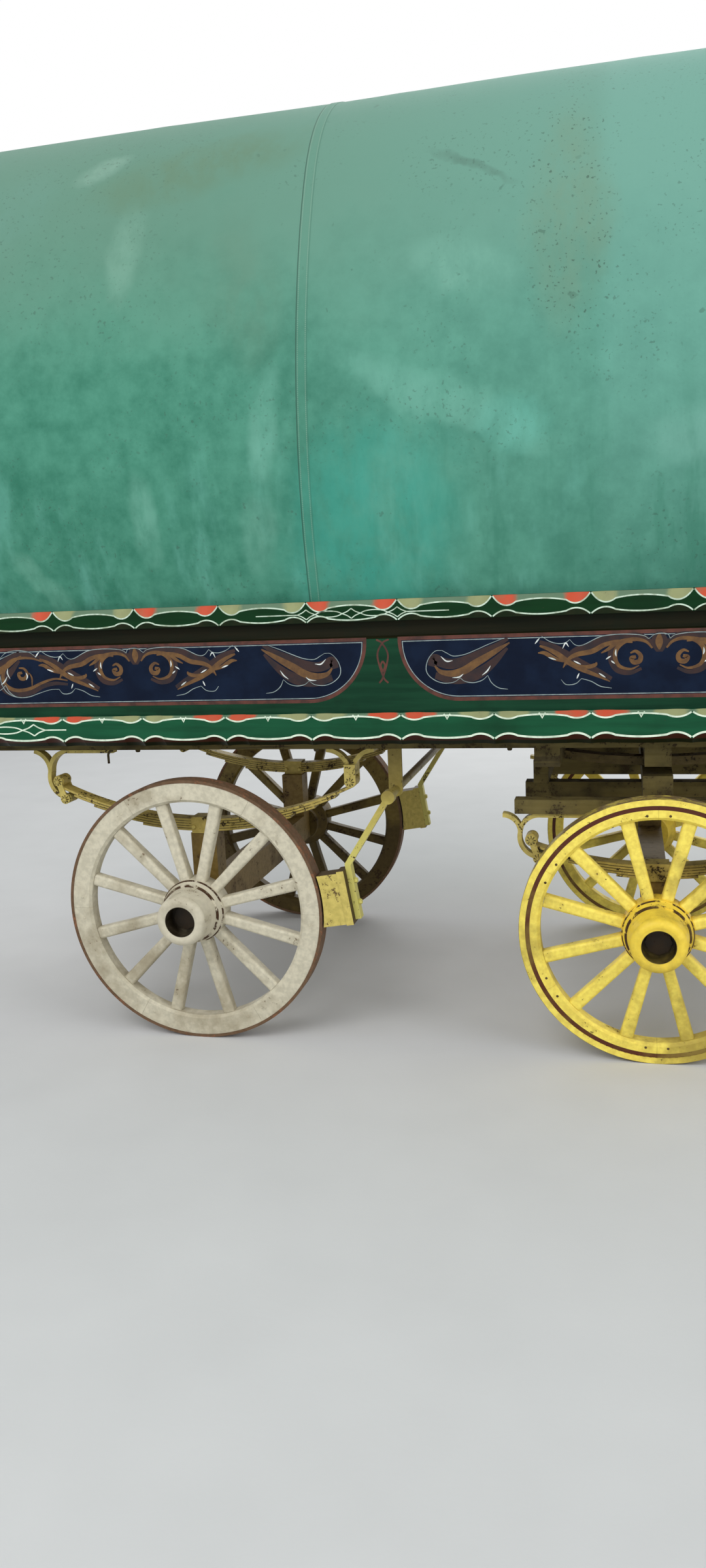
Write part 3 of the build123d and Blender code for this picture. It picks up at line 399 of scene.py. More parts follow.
# Spring irons: forged clevises, shackles and scrolls that hang the springs, painted with them. The
# paint has cracked in eight rays round every bolt, and nuts close the spring clamps.
def star_marks(*places):
    """Rays of bare iron round each bolt at places (x, z): where cos 8a > 0.4, 3.5 to 15 mm out."""
    def lay(dab, tone):
        for place in places:
            turn = dab.maths("ARCTAN2", dab.along("Z") - place[1], dab.along("X") - place[0])
            rays = (dab.maths("COSINE", turn * 8.0) > 0.4) * about(dab, place).within(0.0035, 0.0150)
            tone = (rays * 0.9).mix(tone, tint(34, 26, 14))
        return tone
    return lay


iron_paint = dict(
    colour=tint(184, 166, 90), bare=tint(60, 46, 26), dirt=tint(84, 66, 32), chipped=0.565, dirty=0.46
)
gear_yellow = coach_paint("gear_yellow", **iron_paint)
clamp_half_length, clamp_half_width = 0.030, 0.0335
iron_table = (
    # place, body, hub, height of the clamps' nuts, bolts (x, z)
    ("rear", "wagon", rear_hub, 0.7065, ((-1.0193, 0.8633), (-2.0737, 0.8633), (-2.0517, 0.8003))),
    (
        "front", "fore_carriage", front_hub, 0.5705,
        ((0.3439, 0.6756), (-0.4329, 0.6756), (-0.4109, 0.6160)),
    ),
)
for place, body, hub, nut_z, bolts in iron_table:
    paint = coach_paint(place + "_irons", picked_out=star_marks(*bolts), **iron_paint)
    coat(paint, place + "_spring_irons")
    centres, axes = [], []
    for side in (-1, 1):
        for ahead in (-clamp_half_length, clamp_half_length):
            for outward in (-1, 1):
                centres.append((hub[0] + ahead, side * (beam_y + outward * clamp_half_width), nut_z))
                axes.append((0, side * outward, 0))
    name = place + "_clamp_nuts"
    turned(name, centres, axes, bevelled(0.0085, 0.0060), 6, gear_yellow, body)


# Chassis: two long ash beams and six cross bearers, painted a dull olive, darkened further as painted
# shade under the floor, and worn. The bearers' bolts come through the beams, and an iron hook for a
# bucket hangs from each beam behind the tail springs.
def timber_marks(dab, tone):
    """Long dark shakes in the timber, told by stretched noise."""
    shake = dab.cloud(34.0, 3.0, stretch=(0.05, 1, 1)).step(0.60, 0.66)
    return (shake * 0.6).mix(tone, tint(52, 42, 22))


# the olive is darkened as painted shade under the floor; its dirt and chips are wear
olive_timber_and_shade = coach_paint(
    "olive_timber_and_shade", tint(96, 84, 40), tint(62, 50, 32), tint(40, 33, 18), chipped=0.56, dirty=0.42,
    roughness=0.62, grain=(0.08, 1, 1), picked_out=timber_marks,
)
coat(olive_timber_and_shade, "chassis_frame", "turntable_beds", "carriage_timbers")

first_bearer, bearer_pitch, nut_y, beam_foot = -2.4055, 0.636, 0.560, 0.9752
places = [
    (first_bearer + bearer_pitch * index, side * nut_y, beam_foot)
    for index in range(6) for side in (-1, 1)
]
beam_iron = coach_paint(
    "beam_iron", tint(70, 60, 32), tint(58, 42, 28), tint(40, 32, 20), chipped=0.54, dirty=0.45,
    roughness=0.6,
)
turned("bearer_nuts", places, (0, 0, -1), bevelled(0.0085, 0.0110), 6, beam_iron, "wagon")


def tube_faces(count, sides):
    """Four-sided faces between rings of points that follow one another, and one over each end."""
    index = np.arange(count * sides).reshape(count, sides)
    after = np.roll(index, -1, axis=1)
    walls = np.stack([index[:-1], index[1:], after[1:], after[:-1]], -1).reshape(-1, 4)
    return walls.tolist() + [index[0].tolist(), index[-1, ::-1].tolist()]


def rod(path, radius, sides=10):
    """Points and faces of a round rod: at each point of the path a circle across its slope, spanned
    by the normal of the path's plane and by the normal of that and the slope; flat ends."""
    slope = np.gradient(path, axis=0)
    slope /= np.linalg.norm(slope, axis=1)[:, None]
    plane = np.cross(slope[0], slope[len(path) // 2])
    plane /= np.linalg.norm(plane)
    other = np.cross(slope, plane)
    angle = (np.arange(sides) * 2 * np.pi / sides)[None, :, None]
    points = path[:, None] + radius * (np.cos(angle) * plane + np.sin(angle) * other[:, None])
    return points.reshape(-1, 3), tube_faces(len(path), sides)


def rods(name, paths, radius, material, body):
    """Several rods of one thickness as one piece."""
    points, faces, count = [], [], 0
    for path in paths:
        some, cells = rod(path, radius)
        points.append(some)
        faces += [[corner + count for corner in cell] for cell in cells]
        count += len(some)
    return new_piece(name, np.concatenate(points), faces, material, body)


# a hook comes level out of the beam, turns down through a quarter round and ends in a straight tip
hook_x, hook_y, hook_z, hook_round = -1.860, 0.568, 0.953, 0.018
bend = np.radians(np.linspace(90, 180, 12))
x = np.append(hook_x + hook_round * np.cos(bend), [hook_x - hook_round] * 2)
z = np.append(hook_z + hook_round * np.sin(bend), [0.940, 0.926])
hooks = [np.stack([x, np.full(len(x), side * hook_y), z], 1) for side in (-1, 1)]
rods("bucket_hooks", hooks, 0.0042, beam_iron, "wagon")

# Floor: softwood boards laid lengthways, bare and worn. The footboard ahead of the porch stands on
# two painted iron brackets, bolted up under the beams.
material, dab, shader = new_material("bare_boards")
ring = dab.cloud(22.0, 4.0, stretch=(0.06, 1, 1))
crack = dab.maths("FRACT", dab.along("Y") * 7.2) < 0.03
tone = ring.step(0.3, 0.7).mix(tint(116, 94, 64), tint(152, 128, 92))
tone = crack.mix(tone, tint(40, 30, 20))
finish_material(dab, shader, tone, 0.75, ring * 0.4 + (1.0 - crack), 0.001)
coat(material, "floor_boards", "footboard")
coat(gear_yellow, "footboard_brackets")
bracket_foot = 0.9684
places = [(x, side * beam_y, bracket_foot) for x in (0.625, 0.715) for side in (-1, 1)]
bolt = bevelled(0.0090, 0.0060)
turned("bracket_bolts", places, (0, 0, -1), bolt, 6, beam_iron, "wagon")


# Turntable: an iron ring under three cross timbers turns on one like it, round a king pin. The rings
# are painted a dull yellow, worn and greasy where they meet.
ring_paint = coach_paint(
    "ring_paint", tint(98, 82, 38), tint(52, 42, 28), tint(40, 32, 18), chipped=0.55, dirty=0.42,
    roughness=0.5,
)
coat(ring_paint, "upper_ring", "lower_ring")
pin_iron = coach_paint(
    "pin_iron", tint(52, 46, 40), tint(94, 66, 46), tint(60, 46, 32), chipped=0.6, dirty=0.5,
    roughness=0.5,
)
coat(pin_iron, "carriage_pins")


# Brake: a bent iron lever either side of a cross shaft, under plates bolted to the beams. A softwood
# block with a thin packing board behind it is bolted to each lever and painted pale yellow.
def block_marks_and_shade(dab, tone):
    """Pale on the outer face, with scratches down the grain. The other faces are dark: bare worn wood,
    darkened further with painted shade.
    """
    face = dab.maths("ABSOLUTE", dab.facing("Y")).step(0.5, 0.7)
    scratch = dab.cloud(70.0, 4.0, stretch=(1.6, 1, 0.35), roughness=0.7).step(0.60, 0.66) * 0.55
    tone = scratch.mix(tone, tint(160, 140, 78))
    return face.mix(tint(74, 58, 32), tone)


block_yellow = coach_paint(
    "block_yellow", tint(192, 174, 92), tint(104, 84, 50), tint(150, 136, 74), chipped=0.60, dirty=0.58,
    roughness=0.55, picked_out=block_marks_and_shade,
)
coat(block_yellow, "brake_blocks")


def lever_marks(dab, tone):
    """Lighter low on the lower arm, below 600 mm, and darker towards the pivot, above 800 mm."""
    height = dab.along("Z")
    tone = height.step(0.60, 0.84).mix(tint(206, 196, 106), tone)
    return (height.step(0.80, 0.86) * 0.6).mix(tone, tint(96, 78, 36))


lever_paint = coach_paint(
    "lever_paint", tint(168, 152, 76), tint(72, 54, 32), tint(104, 84, 44), chipped=0.575, dirty=0.52,
    picked_out=lever_marks,
)
coat(lever_paint, "brake_gear")

# the lever's lower arm runs down from its bend, nine degrees off the upright, and its bolts stand out
# ahead of it; the packing board lies behind it, a little proud of the block
lever_lean, lever_y, lever_face = np.radians(9), 0.665, 0.0094
down = np.array([np.sin(lever_lean), 0, -np.cos(lever_lean)])
ahead = np.array([np.cos(lever_lean), 0, np.sin(lever_lean)])
lever_bend = np.array([rear_hub[0] + 0.533, 0, 0.612])
centres = [
    lever_bend + down * reach + ahead * lever_face + (0, side * lever_y, 0)
    for side in (-1, 1) for reach in (0.058, 0.131)
]
turned("brake_bolts", centres, ahead, bevelled(0.0095, 0.0100), 6, lever_paint, "wagon")
# from where to where the board goes down the lever, ahead of it and out across the wagon
board = ((0.012, 0.193), (-0.034, -0.0098), (0.6475, 0.7135))
corners = np.stack(np.meshgrid(*board, indexing="ij"), -1).reshape(-1, 3)
box_faces = np.array([
    (0, 1, 3, 2), (4, 6, 7, 5), (0, 4, 5, 1), (2, 3, 7, 6), (0, 2, 6, 4), (1, 5, 7, 3)
])
points = [lever_bend + corners @ np.array([down, ahead, (0, side, 0)]) for side in (-1, 1)]
faces = np.concatenate([box_faces, box_faces[:, ::-1] + len(corners)])
new_piece(
    "brake_packing", np.concatenate(points), faces, block_yellow, "wagon", smooth=False
)


# Rails: squared timbers along the top and the bottom of the side, green, with stopped chamfers worked
# along their edges and picked out in red and cream bays. White lines follow the chamfers by hand.
tail_x, nose_x = -2.4945, 0.7555
rail_face, rail_thick = 0.710, 0.060
bay_pitch, bay_first = 0.287, tail_x + 0.245
bay_swell = 0.24  # the share of a bay that each lobe takes
rail_red, rail_cream = tint(198, 82, 56), tint(150, 154, 110)
dark_gloss = 0.12  # low on dark paint, so that the pale surroundings don't wash it out
# each chamfer: the height of its edge, 1 for an upper and -1 for a lower one, its depth down the face
# at cusp, lobe and waist, and its lean in degrees
top_high, top_low = (1.455, 1, (0.0, 0.026, 0.011), 32), (1.390, -1, (0.001, 0.017, 0.004), 40)
sill_high, sill_low = (1.107, 1, (0.004, 0.017, 0.006), 45), (1.007, -1, (0.016, 0.030, 0.019), 45)


def rail_paint(name, green, shift, low_paint_and_shade, shade_below, dull_at, bright_reach):
    """Green paint whose upper chamfer, told by its upward lean, changes between red and cream from
    bay to bay, once the bays are moved by shift. It is bright between two distances from dull_at, in
    shares of a bay, and dull elsewhere. bright_reach gives where it starts and is full, and where it
    fades and is gone. The lower chamfer leans down and takes the low colour: red brown paint on the
    sill and painted shade on the top rail. Below the shade level it is near black, as painted shade."""
    material, dab, shader = new_material(name)
    upward = dab.facing("Z")
    leaning = dab.maths("ABSOLUTE", dab.facing("Y")).within(0.2, 0.97)
    bay = (dab.along("X") - bay_first - shift) / bay_pitch
    odd = dab.maths("FLOORED_MODULO", dab.maths("FLOOR", bay), 2.0)
    from_dull = dab.maths("PINGPONG", bay - dull_at, 0.5) + (dab.cloud(30.0, 3.0) - 0.5) * 0.10
    patches = dab.cloud(18.0, 5.0)
    brush = dab.cloud(42.0, 3.0, stretch=(0.08, 1, 1))
    fine = dab.cloud(110.0, 3.0, roughness=0.7)
    lobe = odd.mix(rail_red, rail_cream)
    worn_lobe = (patches.step(0.42, 0.75) * 0.35).mix(lobe, tint(122, 122, 92))
    bright = from_dull.step(*bright_reach[:2]) * (1.0 - from_dull.step(*bright_reach[2:]))
    picked = bright.mix(tint(98, 122, 98), worn_lobe)
    tone = brush.step(0.3, 0.7).mix(green, tuple(part * 1.35 for part in green[:3]) + (1,))
    tone = (dab.cloud(3.0, 4.0).step(0.48, 0.75) * 0.5).mix(tone, tint(10, 34, 18))
    tone = (leaning * (upward > 0.1)).mix(tone, picked)
    # painted shade: near black below the given level of the lower chamfer
    above_shade = dab.along("Z").step(shade_below - 0.0006, shade_below + 0.0006)
    low_tone = above_shade.mix(tint(18, 24, 8), low_paint_and_shade)
    tone = (leaning * (upward < -0.1)).mix(tone, low_tone)
    chips = (fine * 0.5 + patches * 0.5).step(0.66, 0.69)
    tone = (chips * 0.8).mix(tone, tint(56, 52, 36))
    relief = brush * 0.5 + (1.0 - chips) * 0.5
    finish_material(dab, shader, tone, brush * 0.2 + 0.3, relief, 0.0007, gloss=dark_gloss)
    return material


# painted shade: the top rail's green is a darker copy of the sill's, and its lower chamfer is shade
top_rail_shaded_paint = rail_paint(
    "top_rail_shaded_paint", tint(6, 44, 18), 0.0, tint(12, 30, 16), shade_below=0.0, dull_at=0.5,
    bright_reach=(0.21, 0.29, 0.6, 0.7),
)
coat(top_rail_shaded_paint, "top_rails")
# the sill's lower chamfer is red brown paint, and below 1.020 m it is near black: painted shade
sill_paint = rail_paint(
    "sill_paint", tint(20, 74, 48), bay_pitch / 2, tint(62, 30, 20), shade_below=1.020, dull_at=0.0,
    bright_reach=(0.10, 0.16, 0.43, 0.48),
)


def arc_through(start, middle, end, count=14):
    """Points evenly along the circle's arc through three points (x, z). Its centre is where the
    perpendicular bisectors of the two chords meet."""
    (ax, az), (bx, bz), (cx, cz) = start, middle, end
    twice = 2 * (ax * (bz - cz) + bx * (cz - az) + cx * (az - bz))
    squares = [x * x + z * z for x, z in (start, middle, end)]
    centre = np.array([
        (squares[0] * (bz - cz) + squares[1] * (cz - az) + squares[2] * (az - bz)) / twice,
        (squares[0] * (cx - bx) + squares[1] * (ax - cx) + squares[2] * (bx - ax)) / twice,
    ])
    reach = np.array([start, middle, end]) - centre
    turns = np.unwrap(np.arctan2(reach[:, 1], reach[:, 0]))
    angle = np.linspace(turns[0], turns[2], count)
    return centre + np.hypot(*reach[0]) * np.stack([np.cos(angle), np.sin(angle)], 1)


def smooth_path(points, count=10):
    """A Catmull-Rom curve: between each pair of points a cubic whose slopes are half the chords
    between their neighbours."""
    points = np.asarray(points, float)
    ends = np.concatenate([[2 * points[0] - points[1]], points, [2 * points[-1] - points[-2]]])
    t = np.linspace(0, 1, count, endpoint=False)[:, None]
    a, b, c, d = (ends[i:len(ends) - 3 + i, None] for i in range(4))
    square, cube = 2 * a - 5 * b + 4 * c - d, 3 * b - a - 3 * c + d
    cubic = 0.5 * (2 * b + (c - a) * t + square * t**2 + cube * t**3)
    return np.concatenate([cubic.reshape(-1, points.shape[1]), points[-1:]])


def strip_faces(count):
    """Four-sided faces between two rows of that many points."""
    index = np.arange(count - 1)
    return np.stack([index, index + 1, index + 1 + count, index + count], 1)


def brush_band(path, width):
    """Points and faces of a flat stroke: the path moved to both sides by half its width along its
    normal. Width is one number or one for each point."""
    path = np.asarray(path, float)
    slope = np.gradient(path, axis=0)
    slope /= np.maximum(np.linalg.norm(slope, axis=1), 1e-9)[:, None]
    across = np.stack([-slope[:, 1], slope[:, 0]], 1) * (np.broadcast_to(width, len(path)) / 2)[:, None]
    return np.concatenate([path - across, path + across]), strip_faces(len(path))


film_step, film_turns = 0.000012, 14
line_lift = 0.0003


def painted_work(name, strokes, face_y, material):
    """Strokes, each as points (x, z), faces and its lift off the face, laid on both sides of the wagon
    as one thin film of paint, its faces outwards. Strokes that follow one another lie a step of the
    film apart, so that no two fight where they cross."""
    points, faces, count = [], [], 0
    for side in (-1, 1):
        for order, (flat, cells, lift) in enumerate(strokes):
            stand = face_y + lift + film_step * (order % film_turns)
            solid = np.stack([flat[:, 0], np.full(len(flat), side * stand), flat[:, 1]], 1)
            points.append(solid)
            faces.append((cells if side < 0 else cells[:, ::-1]) + count)
            count += len(solid)
    return new_piece(name, np.concatenate(points), np.concatenate(faces), material, "wagon")


def worked_edge(chamfer, inside=0.0):
    """The paths of one chamfer's edge on the face, bay by bay. The depth of the chamfer at its cusps,
    lobes and waist is joined by three arcs, drawn square to the chamfer's own slope, as it is cut;
    the path runs that far inside it."""
    edge_z, upward, (cusp, lobe, waist), lean = chamfer
    stop_short, least_bay, lobe_peak = 0.002, 0.03, 0.42
    scale = np.sin(np.radians(lean))
    paths = []
    for index in range(-1, 11):
        left = max(bay_first + index * bay_pitch, tail_x) + stop_short
        right = min(bay_first + (index + 1) * bay_pitch, nose_x) - stop_short
        if right - left < least_bay:
            continue
        swell = bay_swell * (right - left)
        joint = (lobe + waist) / 2 * scale
        marks = [
            (left, cusp * scale), (left + lobe_peak * swell, lobe * scale), (left + swell, joint),
            ((left + right) / 2, waist * scale), (right - swell, joint),
            (right - lobe_peak * swell, lobe * scale), (right, cusp * scale),
        ]
        path = np.concatenate([arc_through(*marks[i:i + 3]) for i in (0, 2, 4)])
        path[:, 1] = edge_z - upward * (path[:, 1] / scale + inside)
        keep = np.concatenate([[True], np.linalg.norm(np.diff(path, axis=0), axis=1) > 1e-5])
        paths.append(path[keep])
    return paths


def chamfer_line(chamfer, width):
    """The white line beside one chamfer."""
    return [brush_band(path, width) + (line_lift,) for path in worked_edge(chamfer, width / 2)]


def worked_rail(name, upper_chamfer, lower_chamfer, material):
    """A rail on both sides of the wagon: a profile of six points, with both outer corners cut off,
    carried along X. A corner is cut as deep down the face as its edge's path says, and inwards by
    that depth times the tangent of its lean. Both ends are capped."""
    least_cut, least_step = 0.0004, 0.0004
    upper, lower = (np.concatenate(worked_edge(chamfer)) for chamfer in (upper_chamfer, lower_chamfer))
    x = np.unique(np.concatenate([[tail_x, nose_x], upper[:, 0].round(5), lower[:, 0].round(5)]))
    x = x[np.concatenate([[True], np.diff(x) > least_step])]
    levels = (upper_chamfer[0], lower_chamfer[0], rail_face)
    top, foot, outer = (np.full(len(x), level) for level in levels)
    down = np.maximum(top - np.interp(x, upper[:, 0], upper[:, 1]), least_cut)
    rise = np.maximum(np.interp(x, lower[:, 0], lower[:, 1]) - foot, least_cut)
    inner = outer - rail_thick
    top_cut = outer - down * np.tan(np.radians(upper_chamfer[3]))
    foot_cut = outer - rise * np.tan(np.radians(lower_chamfer[3]))
    out = np.stack([inner, foot_cut, outer, outer, top_cut, inner], 1)
    up = np.stack([foot, foot, foot + rise, top - down, top, top], 1)
    along = np.repeat(x[:, None], 6, axis=1)
    points, faces = [], []
    for side in (-1, 1):
        before = out.size * len(points)
        faces += [[corner + before for corner in cell[::-side]] for cell in tube_faces(len(x), 6)]
        points.append(np.stack([along, side * out, up], -1).reshape(-1, 3))
    return new_piece(name, np.concatenate(points), faces, material, "wagon", smooth=False)


def low_shade_band(chamfer):
    """The band of painted shade between a lower white line and the rail's foot, as a strip from a level
    line up to the line's path. It lies under the white line."""
    strokes, under_line, off_edge, lift = [], 0.001, 0.0012, 0.00015
    for path in worked_edge(chamfer, under_line):
        level = np.stack([path[:, 0], np.full(len(path), chamfer[0] + off_edge)], 1)
        strokes.append((np.concatenate([level, path]), strip_faces(len(path)), lift))
    return strokes


def line_motif(centre_x, centre_z, spacing, diamonds, half_width, half_height, tails, width):
    """Fine lining on a rail: diamonds in a row, joined by long double lines that meet at their
    points, and a single tail at each end. The sides of the diamonds are slightly hollow curves."""
    strokes = []
    places = centre_x + (np.arange(diamonds) - (diamonds - 1) / 2) * spacing

    def line(*marks):
        strokes.append(brush_band(smooth_path(marks), width) + (line_lift,))

    for x in places:
        for up in (-1, 1):
            for ahead in (-1, 1):
                hollow = (x + ahead * 0.45 * half_width, centre_z + up * 0.42 * half_height)
                line((x, centre_z + up * half_height), hollow, (x + ahead * half_width, centre_z))
    for low, high in zip(places[:-1], places[1:]):
        for up in (-1, 1):
            start, end = low + half_width, high - half_width
            inward, shoulder = 0.2 * (end - start), centre_z + up * 0.45 * half_height
            line((start, centre_z), (start + inward, shoulder),
                 ((start + end) / 2, centre_z + up * 0.62 * half_height),
                 (end - inward, shoulder), (end, centre_z))
    for x, ahead, reach in ((places[0], -1, tails[0]), (places[-1], 1, tails[1])):
        line((x + ahead * half_width, centre_z), (x + ahead * (half_width + reach), centre_z))
    return strokes


sills = worked_rail("bottom_rails_worked", sill_high, sill_low, sill_paint)
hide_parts("bottom_rails")
white_lines = (
    chamfer_line(top_high, 0.0042) + chamfer_line(top_low, 0.0042)
    + chamfer_line(sill_high, 0.0050) + chamfer_line(sill_low, 0.0060)
)
motif_table = (
    # middle (x, z), spacing, diamonds, half width and half height of one, tails, width of the line
    (-0.958, 1.4165, 0.1435, 3, 0.0285, 0.0150, (0.135, 0.130), 0.0030),
    (-2.178, 1.065, 0.215, 2, 0.042, 0.0190, (0.077, 0.077), 0.0042),
    (0.439, 1.065, 0.215, 2, 0.042, 0.0190, (0.077, 0.077), 0.0042),
)
for motif in motif_table:
    white_lines += line_motif(*motif)
# a small pointed stroke hangs from the bottom rail's upper edge at the middle of each bay
notch_width, clear_of_end = 0.0045, 0.03
notch = np.array([(-0.010, -0.004), (-0.004, -0.011), (0.0, -0.020), (0.004, -0.011), (0.010, -0.004)])
for middle in bay_first + (np.arange(11) + 0.5) * bay_pitch:
    if middle < nose_x - clear_of_end:
        white_lines.append(brush_band(notch + (middle, sill_high[0]), notch_width) + (line_lift,))
lining_paint, dab, shader = new_material("lining_white")
wear = dab.cloud(34.0, 5.0, roughness=0.65)
# painted shade: the lines high up, on the top rail, are duller than those on the sill
shaded_high_up = dab.along("Z").step(1.2, 1.25)
fresh = shaded_high_up.mix(tint(228, 242, 220), tint(206, 226, 206))
worn = shaded_high_up.mix(tint(196, 214, 190), tint(160, 176, 150))
finish_material(dab, shader, wear.step(0.40, 0.66).mix(fresh, worn), 0.42, wear, 0.0003)
painted_work("rail_lining", white_lines, rail_face, lining_paint)
# the top rail's lower chamfer, down to the rail's foot, is painted shade: a dark band
band_paint, dab, shader = new_material("low_band_paint")
patches = dab.cloud(24.0, 4.0)
tone = patches.step(0.35, 0.7).mix(tint(16, 30, 10), tint(30, 34, 16))
finish_material(dab, shader, tone, 0.4, patches, 0.0003, gloss=dark_gloss)
painted_work("rail_low_bands", low_shade_band(top_low), rail_face, band_paint)

# Side boards: a thick plank painted green with two long blue panels a side, lined in pale grey and
# bordered in brown, and a thin ledge board over it, painted near black as shade in its recess under the
# top rail. Each panel has leaf scrolls about a palmette.
plank_face, plank_foot = 0.690, 1.107
material, dab, shader = new_material("plank_paint")
brush = dab.cloud(38.0, 3.0, stretch=(0.07, 1, 1))
patches = dab.cloud(9.0, 5.0)
height = dab.along("Z")
tone = brush.step(0.3, 0.7).mix(tint(10, 50, 32), tint(20, 64, 42))
# painted shade: the ledge board above 1.336 m, recessed under the top rail, is near black
ledge = brush.step(0.3, 0.7).mix(tint(18, 24, 8), tint(34, 32, 16))
tone = height.step(1.334, 1.338).mix(tone, ledge)
tone = (patches.step(0.5, 0.75) * 0.45).mix(tone, tint(10, 36, 24))
finish_material(dab, shader, tone, brush * 0.2 + 0.32, brush, 0.0007, gloss=dark_gloss)
coat(material, "side_boards")

panel_low, panel_top = 1.151, 1.329
panel_round = panel_top - panel_low
panel_table = (
    # tail end, front end, middle of the palmette, -1 where the strokes are the other panel's mirrored
    (-2.3955, -0.9295, -1.6925, 1),
    (-0.8095, 0.6565, -0.0465, -1),
)


def panel_outline(start, end, inset, count=24):
    """A panel's edge, closed: straight along the top and the bottom, its two lower corners taken off
    by quarter rounds as high as the panel."""
    left, right, low, top = start + inset, end - inset, panel_low + inset, panel_top - inset
    angle = np.linspace(0, np.pi / 2, count)
    radius = panel_round - inset
    first = np.stack([left + radius * (1 - np.cos(angle)), top - (top - low) * np.sin(angle)], 1)
    second = np.stack([right - radius * (1 - np.sin(angle)), top - (top - low) * np.cos(angle)], 1)
    return np.concatenate([first, second, first[:1]])


grounds, borders, pale_lines = [], [], []
edge_table = (
    # how far inside the panel's edge, width, lift, its group
    (-0.0055, 0.011, line_lift, borders),
    (0.0035, 0.0024, 0.0004, pale_lines),
)
ground_lift = 0.0002
for start, end, _, _ in panel_table:
    edge = panel_outline(start, end, 0.0)
    half = len(edge) // 2
    strip = np.concatenate([edge[:half], edge[half:2 * half][::-1]])
    grounds.append((strip, strip_faces(half), ground_lift))
    for inset, width, lift, group in edge_table:
        outline = panel_outline(start, end, inset)[:2 * half]
        past_corner = (width / 2, 0)
        along_top = np.linspace(outline[-1] + past_corner, outline[0] - past_corner, 30)
        group += [brush_band(line, width) + (lift,) for line in (outline, along_top)]
panel_paint, dab, shader = new_material("panel_blue")
patches = dab.cloud(12.0, 5.0)
tone = patches.step(0.35, 0.7).mix(tint(6, 18, 38), tint(14, 28, 50))
brush = dab.cloud(40.0, 3.0, stretch=(0.08, 1, 1))
finish_material(dab, shader, tone, 0.34, brush, 0.0005, gloss=dark_gloss)
painted_work("panel_grounds", grounds, plank_face, panel_paint)


def brushed_colour(name, first, second, scale, detail=4.0, first_below=0.35, roughness=0.4):
    """Ornament brushed on thinly, in two tones of one colour that change with patches of noise."""
    material, dab, shader = new_material(name)
    tone = dab.cloud(scale, detail).step(first_below, 0.7).mix(first, second)
    finish_material(dab, shader, tone, roughness, dab.cloud(60.0), 0.0003)
    return material


border_brown = brushed_colour(
    "border_brown", tint(98, 56, 46), tint(66, 42, 36), 26.0, detail=5.0, roughness=0.42
)
# a pointed lens with crossing tails between the two panels, and a small one in it; strokes are in
# millimetres, here from the middle between the panels, and up from the plank's foot
lens_x, lens_width = -0.8695, 0.0055
lens = (
    ((-18, 226), (0, 214), (17, 176), (0, 112), (-13, 92)),
    ((21, 226), (0, 214), (-16, 176), (0, 112), (15, 92)),
    ((0, 160), (-7, 146), (0, 126)),
    ((0, 160), (7, 146), (0, 126)),
)
for marks in lens:
    path = smooth_path(np.array(marks) / 1000 + (lens_x, plank_foot))
    borders.append(brush_band(path, lens_width) + (line_lift,))
painted_work("panel_borders", borders, plank_face, border_brown)

# strokes of one panel, in millimetres forwards from its palmette and up from the plank's foot
gold_strokes = (
    # points, widths at start, belly and end
    ([(433, 206), (462, 189), (500, 167), (537, 146), (571, 126), (609, 117), (643, 123),
      (661, 141)], (4, 24, 5)),
    ([(-336, 186), (-373, 197), (-419, 198), (-456, 186), (-478, 160), (-485, 128), (-471, 104),
      (-437, 91), (-389, 96), (-341, 115), (-293, 127), (-248, 121)], (5, 13, 4)),
    ([(-344, 194), (-316, 182), (-289, 166), (-262, 145), (-225, 123), (-175, 101),
      (-140, 84)], (6, 16, 3)),
    ([(-276, 127), (-262, 150), (-237, 165), (-191, 174), (-155, 192), (-115, 201),
      (-76, 197)], (3, 15, 4)),
    ([(-349, 173), (-329, 172), (-302, 156), (-274, 145)], (3, 13, 4)),
    ([(-235, 134), (-207, 128), (-184, 133), (-178, 141)], (3, 12, 4)),
    ([(-423, 166), (-404, 163), (-394, 147), (-404, 131), (-420, 131), (-426, 146),
      (-412, 150)], (4, 12, 8)),
    ([(-380, 104), (-378, 131), (-386, 149)], (2, 6, 2)),
    ([(-20, 179), (-38, 198), (-69, 206), (-100, 199), (-121, 179), (-125, 151), (-112, 128),
      (-82, 119), (-57, 129)], (5, 13, 3)),
    ([(-82, 166), (-67, 171), (-53, 158), (-56, 142), (-72, 139), (-79, 151), (-66, 155)], (4, 14, 9)),
    ([(0, 222), (1, 198), (0, 174)], (3, 21, 4)),
    ([(-165, 168), (-145, 179), (-121, 196), (-87, 205), (-51, 204)], (3, 12, 3)),
)
dark_strokes = (
    ([(438, 218), (476, 196), (518, 177), (568, 155), (610, 146), (640, 152), (662, 163),
      (670, 140)], (10, 30, 26)),
    ([(440, 190), (480, 150), (520, 120), (560, 105), (610, 100), (660, 112)], (8, 34, 20)),
    ([(-336, 196), (-373, 208), (-422, 210), (-464, 196), (-490, 162), (-497, 126), (-480, 92),
      (-437, 78), (-385, 84), (-341, 103), (-293, 112), (-248, 108)], (8, 22, 8)),
    ([(-344, 206), (-300, 186), (-262, 160), (-225, 136), (-175, 112), (-135, 92)], (10, 30, 10)),
    ([(-270, 135), (-245, 172), (-191, 190), (-155, 206), (-110, 212), (-66, 205)], (10, 28, 12)),
    ([(-14, 186), (-38, 209), (-69, 217), (-104, 210), (-131, 184), (-136, 150), (-120, 118),
      (-84, 108), (-50, 120)], (8, 20, 8)),
    ([(0, 226), (0, 198), (0, 168)], (16, 48, 18)),
)
